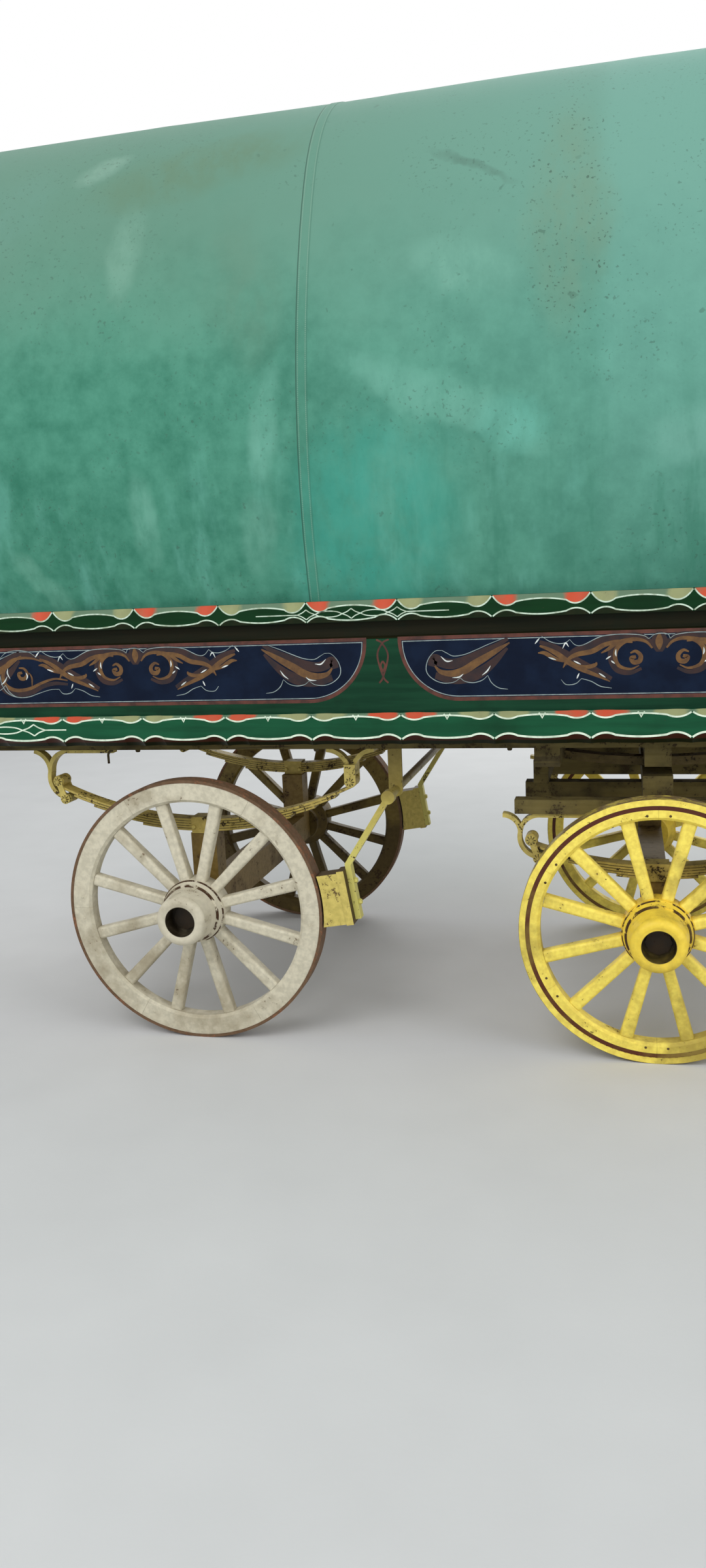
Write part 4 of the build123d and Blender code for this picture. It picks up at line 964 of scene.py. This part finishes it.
outline_strokes = [(marks, (1.2, 2.4, 1.2)) for marks in (
    [(455, 218), (498, 202), (531, 188), (569, 174), (603, 170), (624, 180), (638, 188)],
    [(638, 188), (659, 186), (679, 165), (688, 138), (683, 116), (661, 97), (633, 88), (603, 91),
     (584, 103)],
    [(584, 103), (569, 92), (543, 88), (517, 95), (500, 109)],
    [(500, 109), (489, 87), (468, 71), (440, 66)],
    [(-489, 200), (-464, 218), (-422, 224), (-382, 218), (-360, 204)],
    [(-360, 204), (-354, 204), (-338, 222)],
    [(-338, 222), (-314, 206), (-289, 199), (-269, 201), (-256, 210)],
    [(-256, 210), (-240, 194), (-218, 193), (-170, 215), (-129, 221), (-85, 221), (-46, 216),
     (-30, 206)],
    [(-489, 200), (-500, 170), (-496, 139), (-491, 110), (-473, 83), (-440, 68), (-398, 68),
     (-356, 80), (-314, 91), (-282, 92)],
    [(-282, 92), (-267, 77), (-240, 79), (-222, 94)],
    [(-222, 94), (-194, 85), (-167, 70), (-135, 64)],
    [(-30, 206), (-23, 218), (-4, 221), (14, 218), (30, 206)],
)]
white_strokes = [(marks, (0.8, 4.2, 0.8)) for marks in (
    [(606, 156), (625, 155), (642, 170)], [(491, 138), (502, 122), (517, 110)],
    [(574, 115), (587, 106), (608, 104)], [(-464, 165), (-467, 149), (-459, 130)],
    [(-398, 150), (-394, 137), (-399, 126)], [(-358, 200), (-344, 217)],
    [(-277, 184), (-268, 200), (-259, 189)], [(-319, 159), (-296, 151)], [(-245, 147), (-224, 136)],
    [(-236, 94), (-229, 110)], [(-172, 109), (-153, 96)], [(-123, 178), (-124, 166), (-122, 157)],
    [(-152, 149), (-137, 159)], [(-137, 145), (-126, 136)],
)]


def swelling_stroke(path, widths, lift):
    """A stroke along a path. Its width in millimetres runs evenly from the first of the widths to the
    last, and a half wave of sine is added to it, so that it is the second one at the belly."""
    first, belly, last = widths
    t = np.linspace(0, 1, len(path))
    width = first * (1 - t) + last * t + (belly - (first + last) / 2) * np.sin(np.pi * t)
    return brush_band(path, width / 1000) + (lift,)


def laid_strokes(table, lift):
    """A table of strokes turned into bands on both panels. A stroke that lies behind the palmette and
    near it is mirrored about it, and one of the leaf at the end furthest forward is mirrored to the
    other end, a little nearer. The front panel is the mirror image of the rear one."""
    near_palmette, end_leaf, end_shift = -360, 430, 22
    made = []
    for _, _, middle, turn in panel_table:
        for marks, widths in table:
            nearest, *_, furthest = sorted(mark[0] for mark in marks)
            copies = [(1, 0)]
            if furthest <= 0 and nearest > near_palmette:
                copies.append((-1, 0))
            if nearest >= end_leaf:
                copies.append((-1, end_shift))
            for flip, shift in copies:
                path = smooth_path(np.array(marks, float) * (flip, 1) + (shift, 0))
                path = path / 1000 * (turn, 1) + (middle, plank_foot)
                made.append(swelling_stroke(path, widths, lift))
    return made


scroll_dark = brushed_colour("scroll_dark", tint(56, 38, 36), tint(40, 32, 36), 30.0)
scroll_gold = brushed_colour(
    "scroll_gold", tint(116, 84, 48), tint(90, 64, 42), 42.0, first_below=0.3, roughness=0.38
)
scroll_pale = brushed_colour("scroll_pale", tint(156, 170, 168), tint(120, 134, 134), 50.0)
scroll_white = brushed_colour("scroll_white", tint(226, 230, 226), tint(190, 200, 196), 50.0)
painted_work("scroll_shades", laid_strokes(dark_strokes, 0.0004), plank_face, scroll_dark)
painted_work("scroll_leaves", laid_strokes(gold_strokes, 0.0006), plank_face, scroll_gold)
pale = pale_lines + laid_strokes(outline_strokes, 0.0007)
painted_work("scroll_outlines", pale, plank_face, scroll_pale)
lights = laid_strokes(white_strokes, 0.0008)
painted_work("scroll_lights", lights, plank_face, scroll_white)

# Roof bows: five ash hoops steamed to shape, with a ridge and two purlins let in, all varnished and
# left unpainted.
material, dab, shader = new_material("ash")
ring = dab.cloud(30.0, 4.0, stretch=(0.1, 1, 0.3))
tone = ring.step(0.3, 0.72).mix(tint(150, 112, 66), tint(190, 154, 102))
finish_material(dab, shader, tone, 0.5, ring, 0.0006)
coat(material, "roof_bows")

# Canvas: one green proofed cotton sheet of two widths, lapped and sewn twice. It is strained over the
# bows, hemmed at both ends and nailed down along the top rails, where it puckers. Weather has
# bleached it in streaks and left specks of mildew. Two pale diagonal streaks are painted highlights on
# wrinkles, and a painted shadow lines the lap's edges.
seam_x, seam_width, seam_lean = -1.096, 0.032, 0.0193
bow_places = np.linspace(tail_x + 0.079, nose_x - 0.079, 5)
cloth_thick = 0.0016


def hoop_outline(count):
    """Points (y, z), outward normals and length of the roof's outline from the right foot over the
    crown to the left foot, evenly spaced. One half is an upright foot, a long side arc that is
    tangent to the crown at the neck, and the round crown about its centre."""
    crown, crown_z, neck = 0.660, 2.410, np.radians(26)  # the crown's radius, centre and lowest angle
    foot_y, foot_z, low_z = 0.6757, 1.455, 1.425  # where the foot stands, and the cloth's tucked edge
    along = np.array([np.cos(neck), np.sin(neck)])
    chord = np.array([foot_y, foot_z - crown_z]) - crown * along
    side = -(chord @ chord) / (2 * (chord @ along))
    middle = np.array([0, crown_z]) + (crown - side) * along
    low_angle = np.arctan2(foot_z - middle[1], foot_y - middle[0])
    side_angle = np.linspace(low_angle, neck, 400)
    crown_angle = np.linspace(neck, np.pi / 2, 400)[1:]
    foot = np.stack([np.full(20, foot_y), np.linspace(low_z, foot_z, 21)[:-1]], 1)
    side_arc = middle + side * np.stack([np.cos(side_angle), np.sin(side_angle)], 1)
    crown_arc = np.array([0, crown_z]) + crown * np.stack([np.cos(crown_angle), np.sin(crown_angle)], 1)
    half = np.concatenate([foot, side_arc, crown_arc])
    whole = np.concatenate([half * (-1, 1), half[-2::-1]])
    length = np.concatenate([[0], np.cumsum(np.linalg.norm(np.diff(whole, axis=0), axis=1))])
    # closer rows near both feet, where the puckers are
    spread = np.linspace(-1, 1, count)
    spread = np.sign(spread) * (1 - (1 - np.abs(spread)) ** 1.35)
    place = (spread + 1) / 2 * length[-1]
    points = np.stack([np.interp(place, length, whole[:, i]) for i in (0, 1)], 1)
    slope = np.gradient(points, place, axis=0)
    slope /= np.linalg.norm(slope, axis=1)[:, None]
    return points, np.stack([-slope[:, 1], slope[:, 0]], 1), place, length[-1]


def cloth_relief(x, place, girth):
    """How far the sheet stands off its stretched outline: a crest over each bow and a hollow between
    two, broad billows as sums of slow waves, short upright puckers that fade out above the rails,
    the double thickness of the seam and of the end hems."""
    foot = np.minimum(place, girth - place)
    crest = np.exp(-(((x[..., None] - bow_places) / 0.05) ** 2)).sum(-1)
    relief = 0.0008 * crest - 0.0012
    # slow billows, then puckers, their pitches and leans drawn at random from a fixed seed
    waves = np.random.default_rng(7)
    for _ in range(9):
        a, b, turn = waves.uniform(2, 9), waves.uniform(-5, 5), waves.uniform(0, 6.28)
        relief = relief + 0.0007 * np.sin(a * x + b * place + turn)
    for _ in range(14):
        pitch, turn, lean = waves.uniform(22, 95), waves.uniform(0, 6.28), waves.uniform(-9, 9)
        fade = np.exp(-foot / waves.uniform(0.05, 0.16))
        relief = relief + 0.0011 * fade * np.sin(pitch * x + lean * foot + turn)
    from_seam = np.abs(x - seam_x - seam_width / 2)
    seam = 1 / (1 + np.exp(np.clip((from_seam - seam_width / 2) / 0.0006, -30, 30)))
    hem = 1 / (1 + np.exp(np.clip((np.minimum(x - tail_x, nose_x - x) - 0.04) / 0.0012, -30, 30)))
    beside_seam = np.exp(-(((from_seam - 0.034) / 0.012) ** 2))
    pull = 0.0010 * beside_seam * np.sin(70 * place + 3 * np.sin(9 * place))
    return relief + cloth_thick * (seam + hem) + pull


# points along the wagon: evenly spaced, but closer over the seam's two edges and the hems' ends
seam_edge = np.array([-2.0, -0.7, 0.0, 0.7, 2.0])
seam_rows = np.concatenate([[-22, -12], seam_edge, [8, 16, 24], 32 + seam_edge, [44, 54]])
seam_rows = seam_rows / 1000 + seam_x
hem_rows = np.array([0, 0.02, 0.036, 0.0385, 0.0415, 0.044, 0.05])
columns = np.linspace(tail_x, nose_x, 262)
clear_of_seam = np.abs(columns - seam_x - seam_width / 2) > 0.042
clear_of_hems = (columns - tail_x > 0.055) & (nose_x - columns > 0.055)
columns = columns[clear_of_seam & clear_of_hems]
columns = np.sort(np.concatenate([columns, seam_rows, tail_x + hem_rows, nose_x - hem_rows]))
hoop, hoop_normal, place, girth = hoop_outline(141)
grid_x, grid_place = np.meshgrid(columns, place, indexing="ij")
relief = cloth_relief(grid_x, grid_place, girth)
up_side = np.minimum(grid_place, girth - grid_place)
relief *= np.clip(up_side / 0.05, 0.1, 1)  # flat where it is nailed
# the sewn edge leans forward as it rises, and the cloth beside it goes with it
leaning_x = grid_x + seam_lean * up_side * np.exp(-(((grid_x - seam_x) / 0.35) ** 2))
# the outer and the inner surface, both a little inside the solid canvas
shells, tucked_in = [], 0.0012
for sunk in (tucked_in, tucked_in + cloth_thick):
    stand = (relief - sunk)[..., None] * hoop_normal[None]
    shells.append(np.concatenate([leaning_x[..., None], hoop[None] + stand], -1))
rows, across = grid_x.shape
index = np.arange(rows * across).reshape(rows, across)
outer_faces = np.stack([index[:-1, :-1], index[1:, :-1], index[1:, 1:], index[:-1, 1:]], -1)
outer_faces = outer_faces.reshape(-1, 4)
inner_faces = outer_faces[:, ::-1] + rows * across
rim = np.concatenate([index[0, :-1], index[:-1, -1], index[-1, :0:-1], index[:0:-1, 0]])
after = np.roll(rim, -1)
edge_faces = np.stack([rim, after, after + rows * across, rim + rows * across], -1)
material, dab, shader = new_material("proofed_canvas")
canvas_sheet = new_piece(
    "canvas_sheet", np.concatenate([shells[0].reshape(-1, 3), shells[1].reshape(-1, 3)]),
    np.concatenate([outer_faces, inner_faces, edge_faces]), material, "wagon",
)
uv = np.stack([np.tile(grid_x.ravel(), 2), np.tile(grid_place.ravel(), 2)], 1)
uv_layer = canvas_sheet.data.uv_layers.new(name="cloth")
corner = np.empty(len(canvas_sheet.data.loops), dtype=np.int64)
canvas_sheet.data.loops.foreach_get("vertex_index", corner)
uv_layer.data.foreach_set("uv", uv[corner].astype(np.float32).ravel())

cloth = dab.node("UVMap", {"uv_map": "cloth"}, {})
cloth_x = dab.node("SeparateXYZ", {}, {0: cloth}, output=0)
cloth_y = dab.node("SeparateXYZ", {}, {0: cloth}, output=1)
height = dab.along("Z")
broad = dab.cloud(1.1, 5.0)
patches = dab.cloud(3.4, 6.0, roughness=0.62)
wash = dab.cloud(5.5, 5.0, stretch=(1, 1, 0.28), roughness=0.6)
wander = (dab.cloud(3.4, 4.0) - 0.5) * 0.16
broken = dab.cloud(13.0, 5.0, stretch=(1, 1, 0.45), roughness=0.65).step(0.30, 0.66)
right_side = dab.along("Y") < 0.0


def sheet_mark(place, reach, lean, strength):
    """A mark about place (x, z) on the right side: full inside an ellipse whose half lengths are
    reach, its long way lean degrees up from forwards, and fading to its edge."""
    turn = np.radians(lean)
    across = dab.along("X") - place[0] + wander
    upward = dab.along("Z") - place[1] + wander
    long_way = (across * np.cos(turn) + upward * np.sin(turn)) / reach[0]
    short_way = (upward * np.cos(turn) - across * np.sin(turn)) / reach[1]
    inside = 1.0 - (long_way * long_way + short_way * short_way).step(0.0, 1.0)
    return inside * (broken * 0.7 + 0.3) * right_side * strength


mottle = dab.cloud(15.0, 6.0, roughness=0.68)
green = (broad * 0.35 + patches * 0.35 + mottle * 0.3).step(0.36, 0.64)
tone = green.mix(tint(26, 108, 84), tint(76, 148, 124))
# paler and greyer towards the crown, and bluer the further forward it is, most ahead of the fourth bow
tone = (height.step(1.9, 2.9) + (patches - 0.5) * 0.5).step(0.0, 1.0).mix(tone, tint(92, 136, 116))
forward = dab.along("X")
bluer = forward.step(-1.7, 0.1) * 0.36 + (forward + wander * 0.15).step(-0.24, -0.17) * 0.12
tone = (bluer * height.step(0.9, 2.3)).mix(tone, tint(124, 182, 168))
tone = (wash.step(0.54, 0.70) * (1.0 - height.step(1.6, 2.3)) * 0.5).mix(tone, tint(104, 174, 156))
runs = dab.cloud(16.0, 4.0, stretch=(1, 1, 0.14), roughness=0.6)
tone = (runs.step(0.52, 0.68) * (1.0 - height.step(1.6, 2.2)) * 0.35).mix(tone, tint(34, 112, 88))
sheet_marks = (
    # place, half lengths, lean, strength, colour
    ((-1.42, 2.77), (0.42, 0.12), 8, 0.7, tint(92, 124, 96)),
    ((-0.30, 2.50), (0.40, 0.14), 88, 0.50, tint(112, 140, 114)),
    ((-1.25, 2.38), (0.30, 0.14), 100, 0.35, tint(96, 130, 108)),
    ((-0.88, 1.68), (0.40, 0.34), 80, 0.66, tint(50, 156, 138)),
    # painted highlights: the next two pale diagonal streaks stand for light on wrinkles in the sheet
    ((-0.66, 2.02), (0.42, 0.085), -28, 0.45, tint(122, 186, 166)),
    ((-0.58, 2.38), (0.19, 0.11), -20, 0.40, tint(128, 184, 164)),
    ((-0.46, 1.93), (0.14, 0.10), 10, 0.55, tint(104, 184, 166)),
    ((-1.19, 1.97), (0.20, 0.055), 84, 0.50, tint(122, 184, 164)),
    ((-1.60, 1.72), (0.17, 0.065), 98, 0.48, tint(124, 184, 164)),
    ((-1.23, 1.68), (0.14, 0.070), 96, 0.40, tint(120, 178, 158)),
    ((-1.98, 1.56), (0.17, 0.045), 128, 0.45, tint(118, 178, 156)),
    ((-1.63, 2.52), (0.20, 0.070), 80, 0.38, tint(132, 176, 156)),
    ((-1.76, 2.81), (0.12, 0.045), 24, 0.36, tint(156, 190, 172)),
    ((0.06, 1.87), (0.20, 0.10), 10, 0.40, tint(128, 184, 168)),
    ((-2.06, 2.70), (0.22, 0.15), 30, 0.30, tint(100, 148, 134)),
    ((-0.57, 2.665), (0.18, 0.020), -27, 0.5, tint(72, 104, 90)),
)
for place, reach, lean, strength, colour in sheet_marks:
    tone = sheet_mark(place, reach, lean, strength).mix(tone, colour)
# mildew: small dark specks, thickest in a band down from the crown by the fourth bow
band = sheet_mark((-0.30, 2.50), (0.46, 0.17), 88, 1.0)
thick = (dab.cloud(2.7, 3.0).step(0.40, 0.62) * 0.55 + band).step(0.0, 1.0)
specks = dab.cloud(105.0, 2.0, roughness=0.4).step(0.655, 0.69) * thick
blots = dab.cloud(24.0, 3.0, roughness=0.5).step(0.70, 0.73) * dab.cloud(3.1, 2.0).step(0.45, 0.6)
tone = (specks * 0.65).mix(tone, tint(48, 74, 60))
tone = (blots * 0.5).mix(tone, tint(56, 92, 76))
threads = {"Vector": cloth, "Scale": 160.0}
warp, weft = (
    dab.node("TexWave", {"wave_type": "BANDS", "bands_direction": axis}, threads) for axis in ("X", "Y")
)
# 180 stitches a metre in two rows, 4 mm inside both edges of the lap; the lap is a shade darker
from_edge = cloth_x - seam_x
sewing = from_edge.within(0.0030, 0.0052) + from_edge.within(0.0268, 0.0290)
stitch_row = sewing * (dab.maths("FRACT", cloth_y * 180.0) < 0.62)
tone = (from_edge.within(0.0, seam_width) * 0.22).mix(tone, tint(72, 132, 108))
# painted shadow: a dark line along the lap's raised edge and a fainter one along its other edge
tone = (from_edge.within(-0.0030, 0.0006) * 0.75).mix(tone, tint(40, 78, 62))
tone = (from_edge.within(0.0310, 0.0330) * 0.35).mix(tone, tint(52, 92, 76))
tone = (stitch_row * 0.55).mix(tone, tint(150, 178, 158))
relief_height = (warp + weft) * 0.12 + patches * 0.6 + stitch_row * 0.5
finish_material(dab, shader, tone, patches * 0.12 + 0.62, relief_height, 0.0012, gloss=0.35)
shader.inputs["Sheen Weight"].default_value = 0.12
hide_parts("canvas")


# End walls: upright matchboards nailed to the end bows, painted green and lined in cream. The rear one
# has a sash window over a blue panel of scrollwork, as on the sides.
def board_marks(dab, tone):
    """A dark groove every 95 mm across the wagon."""
    groove = dab.maths("FRACT", dab.along("Y") / 0.095 + 0.5) < 0.045
    return (groove * 0.8).mix(tone, tint(18, 40, 28))


wall_paint = coach_paint(
    "wall_paint", tint(30, 82, 58), tint(84, 80, 58), tint(28, 52, 38), chipped=0.66, dirty=0.52,
    grain=(1, 1, 0.06), picked_out=board_marks,
)
coat(wall_paint, "front_wall", "rear_wall")
cream = coach_paint(
    "cream", tint(206, 198, 158), tint(120, 104, 76), tint(140, 128, 96), chipped=0.64, dirty=0.55
)
coat(cream, "rear_window_frame")
material, dab, shader = new_material("glass")
haze = dab.cloud(9.0, 3.0).step(0.3, 0.8)
clear = (0.9, 0.95, 0.94, 1)
finish_material(dab, shader, clear, haze * 0.12 + 0.04, dab.cloud(1.5), 0.0004, gloss=0.5)
shader.inputs["Transmission Weight"].default_value = 0.95
coat(material, "rear_window_glass")


def end_film(name, strokes, face_x, outward, material, body="wagon"):
    """Strokes as points (y, z), faces and a lift, laid on an end wall as a thin film of paint."""
    points, faces, count = [], [], 0
    for order, (flat, cells, lift) in enumerate(strokes):
        stand = face_x + outward * (lift + film_step * (order % film_turns))
        points.append(np.stack([np.full(len(flat), stand), flat[:, 0], flat[:, 1]], 1))
        faces.append((cells if outward > 0 else cells[:, ::-1]) + count)
        count += len(flat)
    return new_piece(name, np.concatenate(points), np.concatenate(faces), material, body)


border_inset, border_foot, border_width = 0.075, 1.20, 0.0060


def end_border(doorway=0.0):
    """A line that follows the roof's outline a little inside it and closes level at its foot, with a
    gap as wide as the doorway on both sides of the middle."""
    line = (hoop - hoop_normal * border_inset)[::2]
    line = line[line[:, 1] > border_foot]
    first, last = np.array([line[0, 0], border_foot]), np.array([line[-1, 0], border_foot])
    paths = (
        np.concatenate([[first], line, [last]]), np.linspace(first, (-doorway, border_foot), 10),
        np.linspace((doorway, border_foot), last, 10),
    )
    return [brush_band(path, border_width) + (line_lift,) for path in paths]


def end_frame(left, right, low, high, width):
    """Four straight lines about a rectangle in the wall's plane, each half a width past its corners."""
    corners = np.array([(left, low), (right, low), (right, high), (left, high), (left, low)])
    strokes = []
    for start, end in zip(corners[:-1], corners[1:]):
        past = (end - start) / np.linalg.norm(end - start) * width / 2
        strokes.append(brush_band(np.linspace(start - past, end + past, 12), width) + (line_lift,))
    return strokes


# left, right, foot and head of the painted panel and of the line round the window
rear_face, rear_panel, window_line = -2.4745, (-0.52, 0.52, 1.30, 1.53), (-0.375, 0.375, 1.70, 2.25)
left, right, low, high = rear_panel
points = np.array([(left, low), (right, low), (left, high), (right, high)])
ground = [(points, np.array([[0, 1, 3, 2]]), ground_lift)]
end_film("rear_panel_ground", ground, rear_face, -1, panel_paint)
lining = end_border() + end_frame(*rear_panel, border_width) + end_frame(*window_line, 0.0050)
end_film("rear_lining", lining, rear_face, -1, lining_paint)


def end_scrolls(table, lift):
    """The side panels' strokes that lie behind their palmette, on both halves of the rear panel. The
    leaf at the end, which is ahead of it, is left out."""
    past_palmette, strokes_foot = 40, 1.266
    made = []
    for marks, widths in table:
        if max(mark[0] for mark in marks) <= past_palmette:
            for flip in (-1, 1):
                path = smooth_path(np.array(marks, float) * (flip, 1)) / 1000 + (0, strokes_foot)
                made.append(swelling_stroke(path, widths, lift))
    return made


for name, table, lift, paint in (
    ("rear_scroll_shades", dark_strokes, 0.0004, scroll_dark),
    ("rear_scroll_leaves", gold_strokes, 0.0006, scroll_gold),
    ("rear_scroll_outlines", outline_strokes, 0.0008, scroll_pale),
):
    end_film(name, end_scrolls(table, lift), rear_face, -1, paint)

# the front wall's lining, on the porch side: the same border, broken by the doorway, and a frame
front_face, doorway, door_foot, door_head = 0.3555, 0.360, 1.165, 2.6964
frame_clear, border_clear = 0.035, 0.045
lining = end_border(doorway + border_clear) + end_frame(
    -doorway - frame_clear, doorway + frame_clear, door_foot, door_head + frame_clear, 0.0050
)
end_film("front_lining", lining, front_face, 1, lining_paint)


# Doors: two framed leaves with sunk panels, painted green with blue panels, lined in cream and hung on
# black iron butts. The right leaf has a brass knob and an escutcheon on its lock rail.
def door_marks(dab, tone):
    """Blue on the bottoms of the sunk panels and black iron on the hinges' leaves, told by how far
    each stands from the leaf's face."""
    ahead = dab.along("X") - front_face
    tone = ahead.within(-0.0095, -0.0085).mix(tone, tint(20, 32, 58))
    return (ahead > 0.0004).mix(tone, tint(40, 36, 32))


door_paint = coach_paint(
    "door_paint", tint(26, 78, 54), tint(90, 84, 60), tint(26, 48, 36), chipped=0.67, dirty=0.54,
    grain=(1, 1, 0.06), picked_out=door_marks,
)
coat(door_paint, "door_right", "door_left")
hinge_iron = coach_paint(
    "hinge_iron", tint(46, 42, 38), tint(96, 68, 48), tint(64, 50, 38), chipped=0.62, dirty=0.52,
    roughness=0.5,
)
coat(hinge_iron, "door_hinges")
# the sunk panels' feet and heads, their edges nearest to and furthest from the middle, and how deep
# they are sunk; a line runs round each of them outside it and one inside it
door_panels, panel_edges, sunk = ((1.214, 1.787), (1.911, 2.629)), (0.0655, 0.293), 0.009
outside, inside = 0.012, 0.022
for body, side in (("right_door", -1), ("left_door", 1)):
    left, right = sorted(side * edge for edge in panel_edges)
    lining, inner = [], []
    for low, high in door_panels:
        lining += end_frame(left - outside, right + outside, low - outside, high + outside, 0.0040)
        inner += end_frame(left + inside, right - inside, low + inside, high - inside, 0.0030)
        middle = ((left + right) / 2, (low + high) / 2)
        inner += line_motif(*middle, 0.0, 1, 0.030, 0.060, (0.030, 0.030), 0.0030)
    end_film(body + "_lining", lining, front_face, 1, lining_paint, body)
    end_film(body + "_inner_lining", inner, front_face - sunk, 1, lining_paint, body)

brass, dab, shader = new_material("brass")
wear = dab.cloud(40.0, 4.0)
tone = wear.step(0.35, 0.7).mix(tint(190, 150, 76), tint(132, 98, 52))
finish_material(dab, shader, tone, wear * 0.3 + 0.25, wear, 0.0003, metallic=1.0)
# profiles as (radius, height off the face)
knob = (
    (0.020, 0.0), (0.020, 0.002), (0.009, 0.004), (0.008, 0.018), (0.015, 0.024), (0.019, 0.032),
    (0.019, 0.040), (0.014, 0.047), (0.005, 0.050),
)
plate = ((0.013, 0.0), (0.013, 0.0012), (0.011, 0.0020))
lock_y = -0.034
for name, z, profile, sides, smooth in (
    ("door_knob", 1.849, knob, 24, True), ("door_escutcheon", 1.800, plate, 20, False)
):
    place = [(front_face, lock_y, z)]
    turned(name, place, (1, 0, 0), profile, sides, brass, "right_door", smooth)


# Shafts: two bent ash poles joined by a cross bar, painted yellow and worn bare at the tips, hung from
# a rod by forged irons. A staple on the outside of each pole takes the harness.
def shaft_marks(dab, tone):
    """Bare ash towards the tips, through ragged paint, and two dark bands by the staples."""
    ahead = dab.along("X")
    worn = (ahead + dab.cloud(9.0, 4.0) * 0.30).step(2.50, 2.62)
    bands = ahead.within(1.772, 1.784) + ahead.within(1.872, 1.884)
    tone = bands.mix(tone, tint(34, 74, 52))
    return (worn * 0.85).mix(tone, tint(146, 118, 78))


shaft_paint = coach_paint(
    "shaft_paint", tint(206, 190, 96), tint(120, 92, 58), tint(136, 116, 62), chipped=0.61, dirty=0.55,
    grain=(0.06, 1, 1), picked_out=shaft_marks,
)
coat(shaft_paint, "shafts")
coat(pin_iron, "shaft_irons")
# a staple is half an ellipse that stands out from the pole and slopes with it
staple_x, pole_y, staple_z, pole_slope = 1.828, 0.3235, 0.312, 0.40
half_length, stand_out = 0.024, 0.022
turn = np.radians(np.linspace(0, 180, 13))
x, y = staple_x + half_length * np.cos(turn), pole_y + stand_out * np.sin(turn)
z = staple_z - (x - staple_x) * pole_slope
staples = [np.stack([x, side * y, z], 1) for side in (-1, 1)]
rods("harness_staples", staples, 0.0040, pin_iron, "shaft_pair")
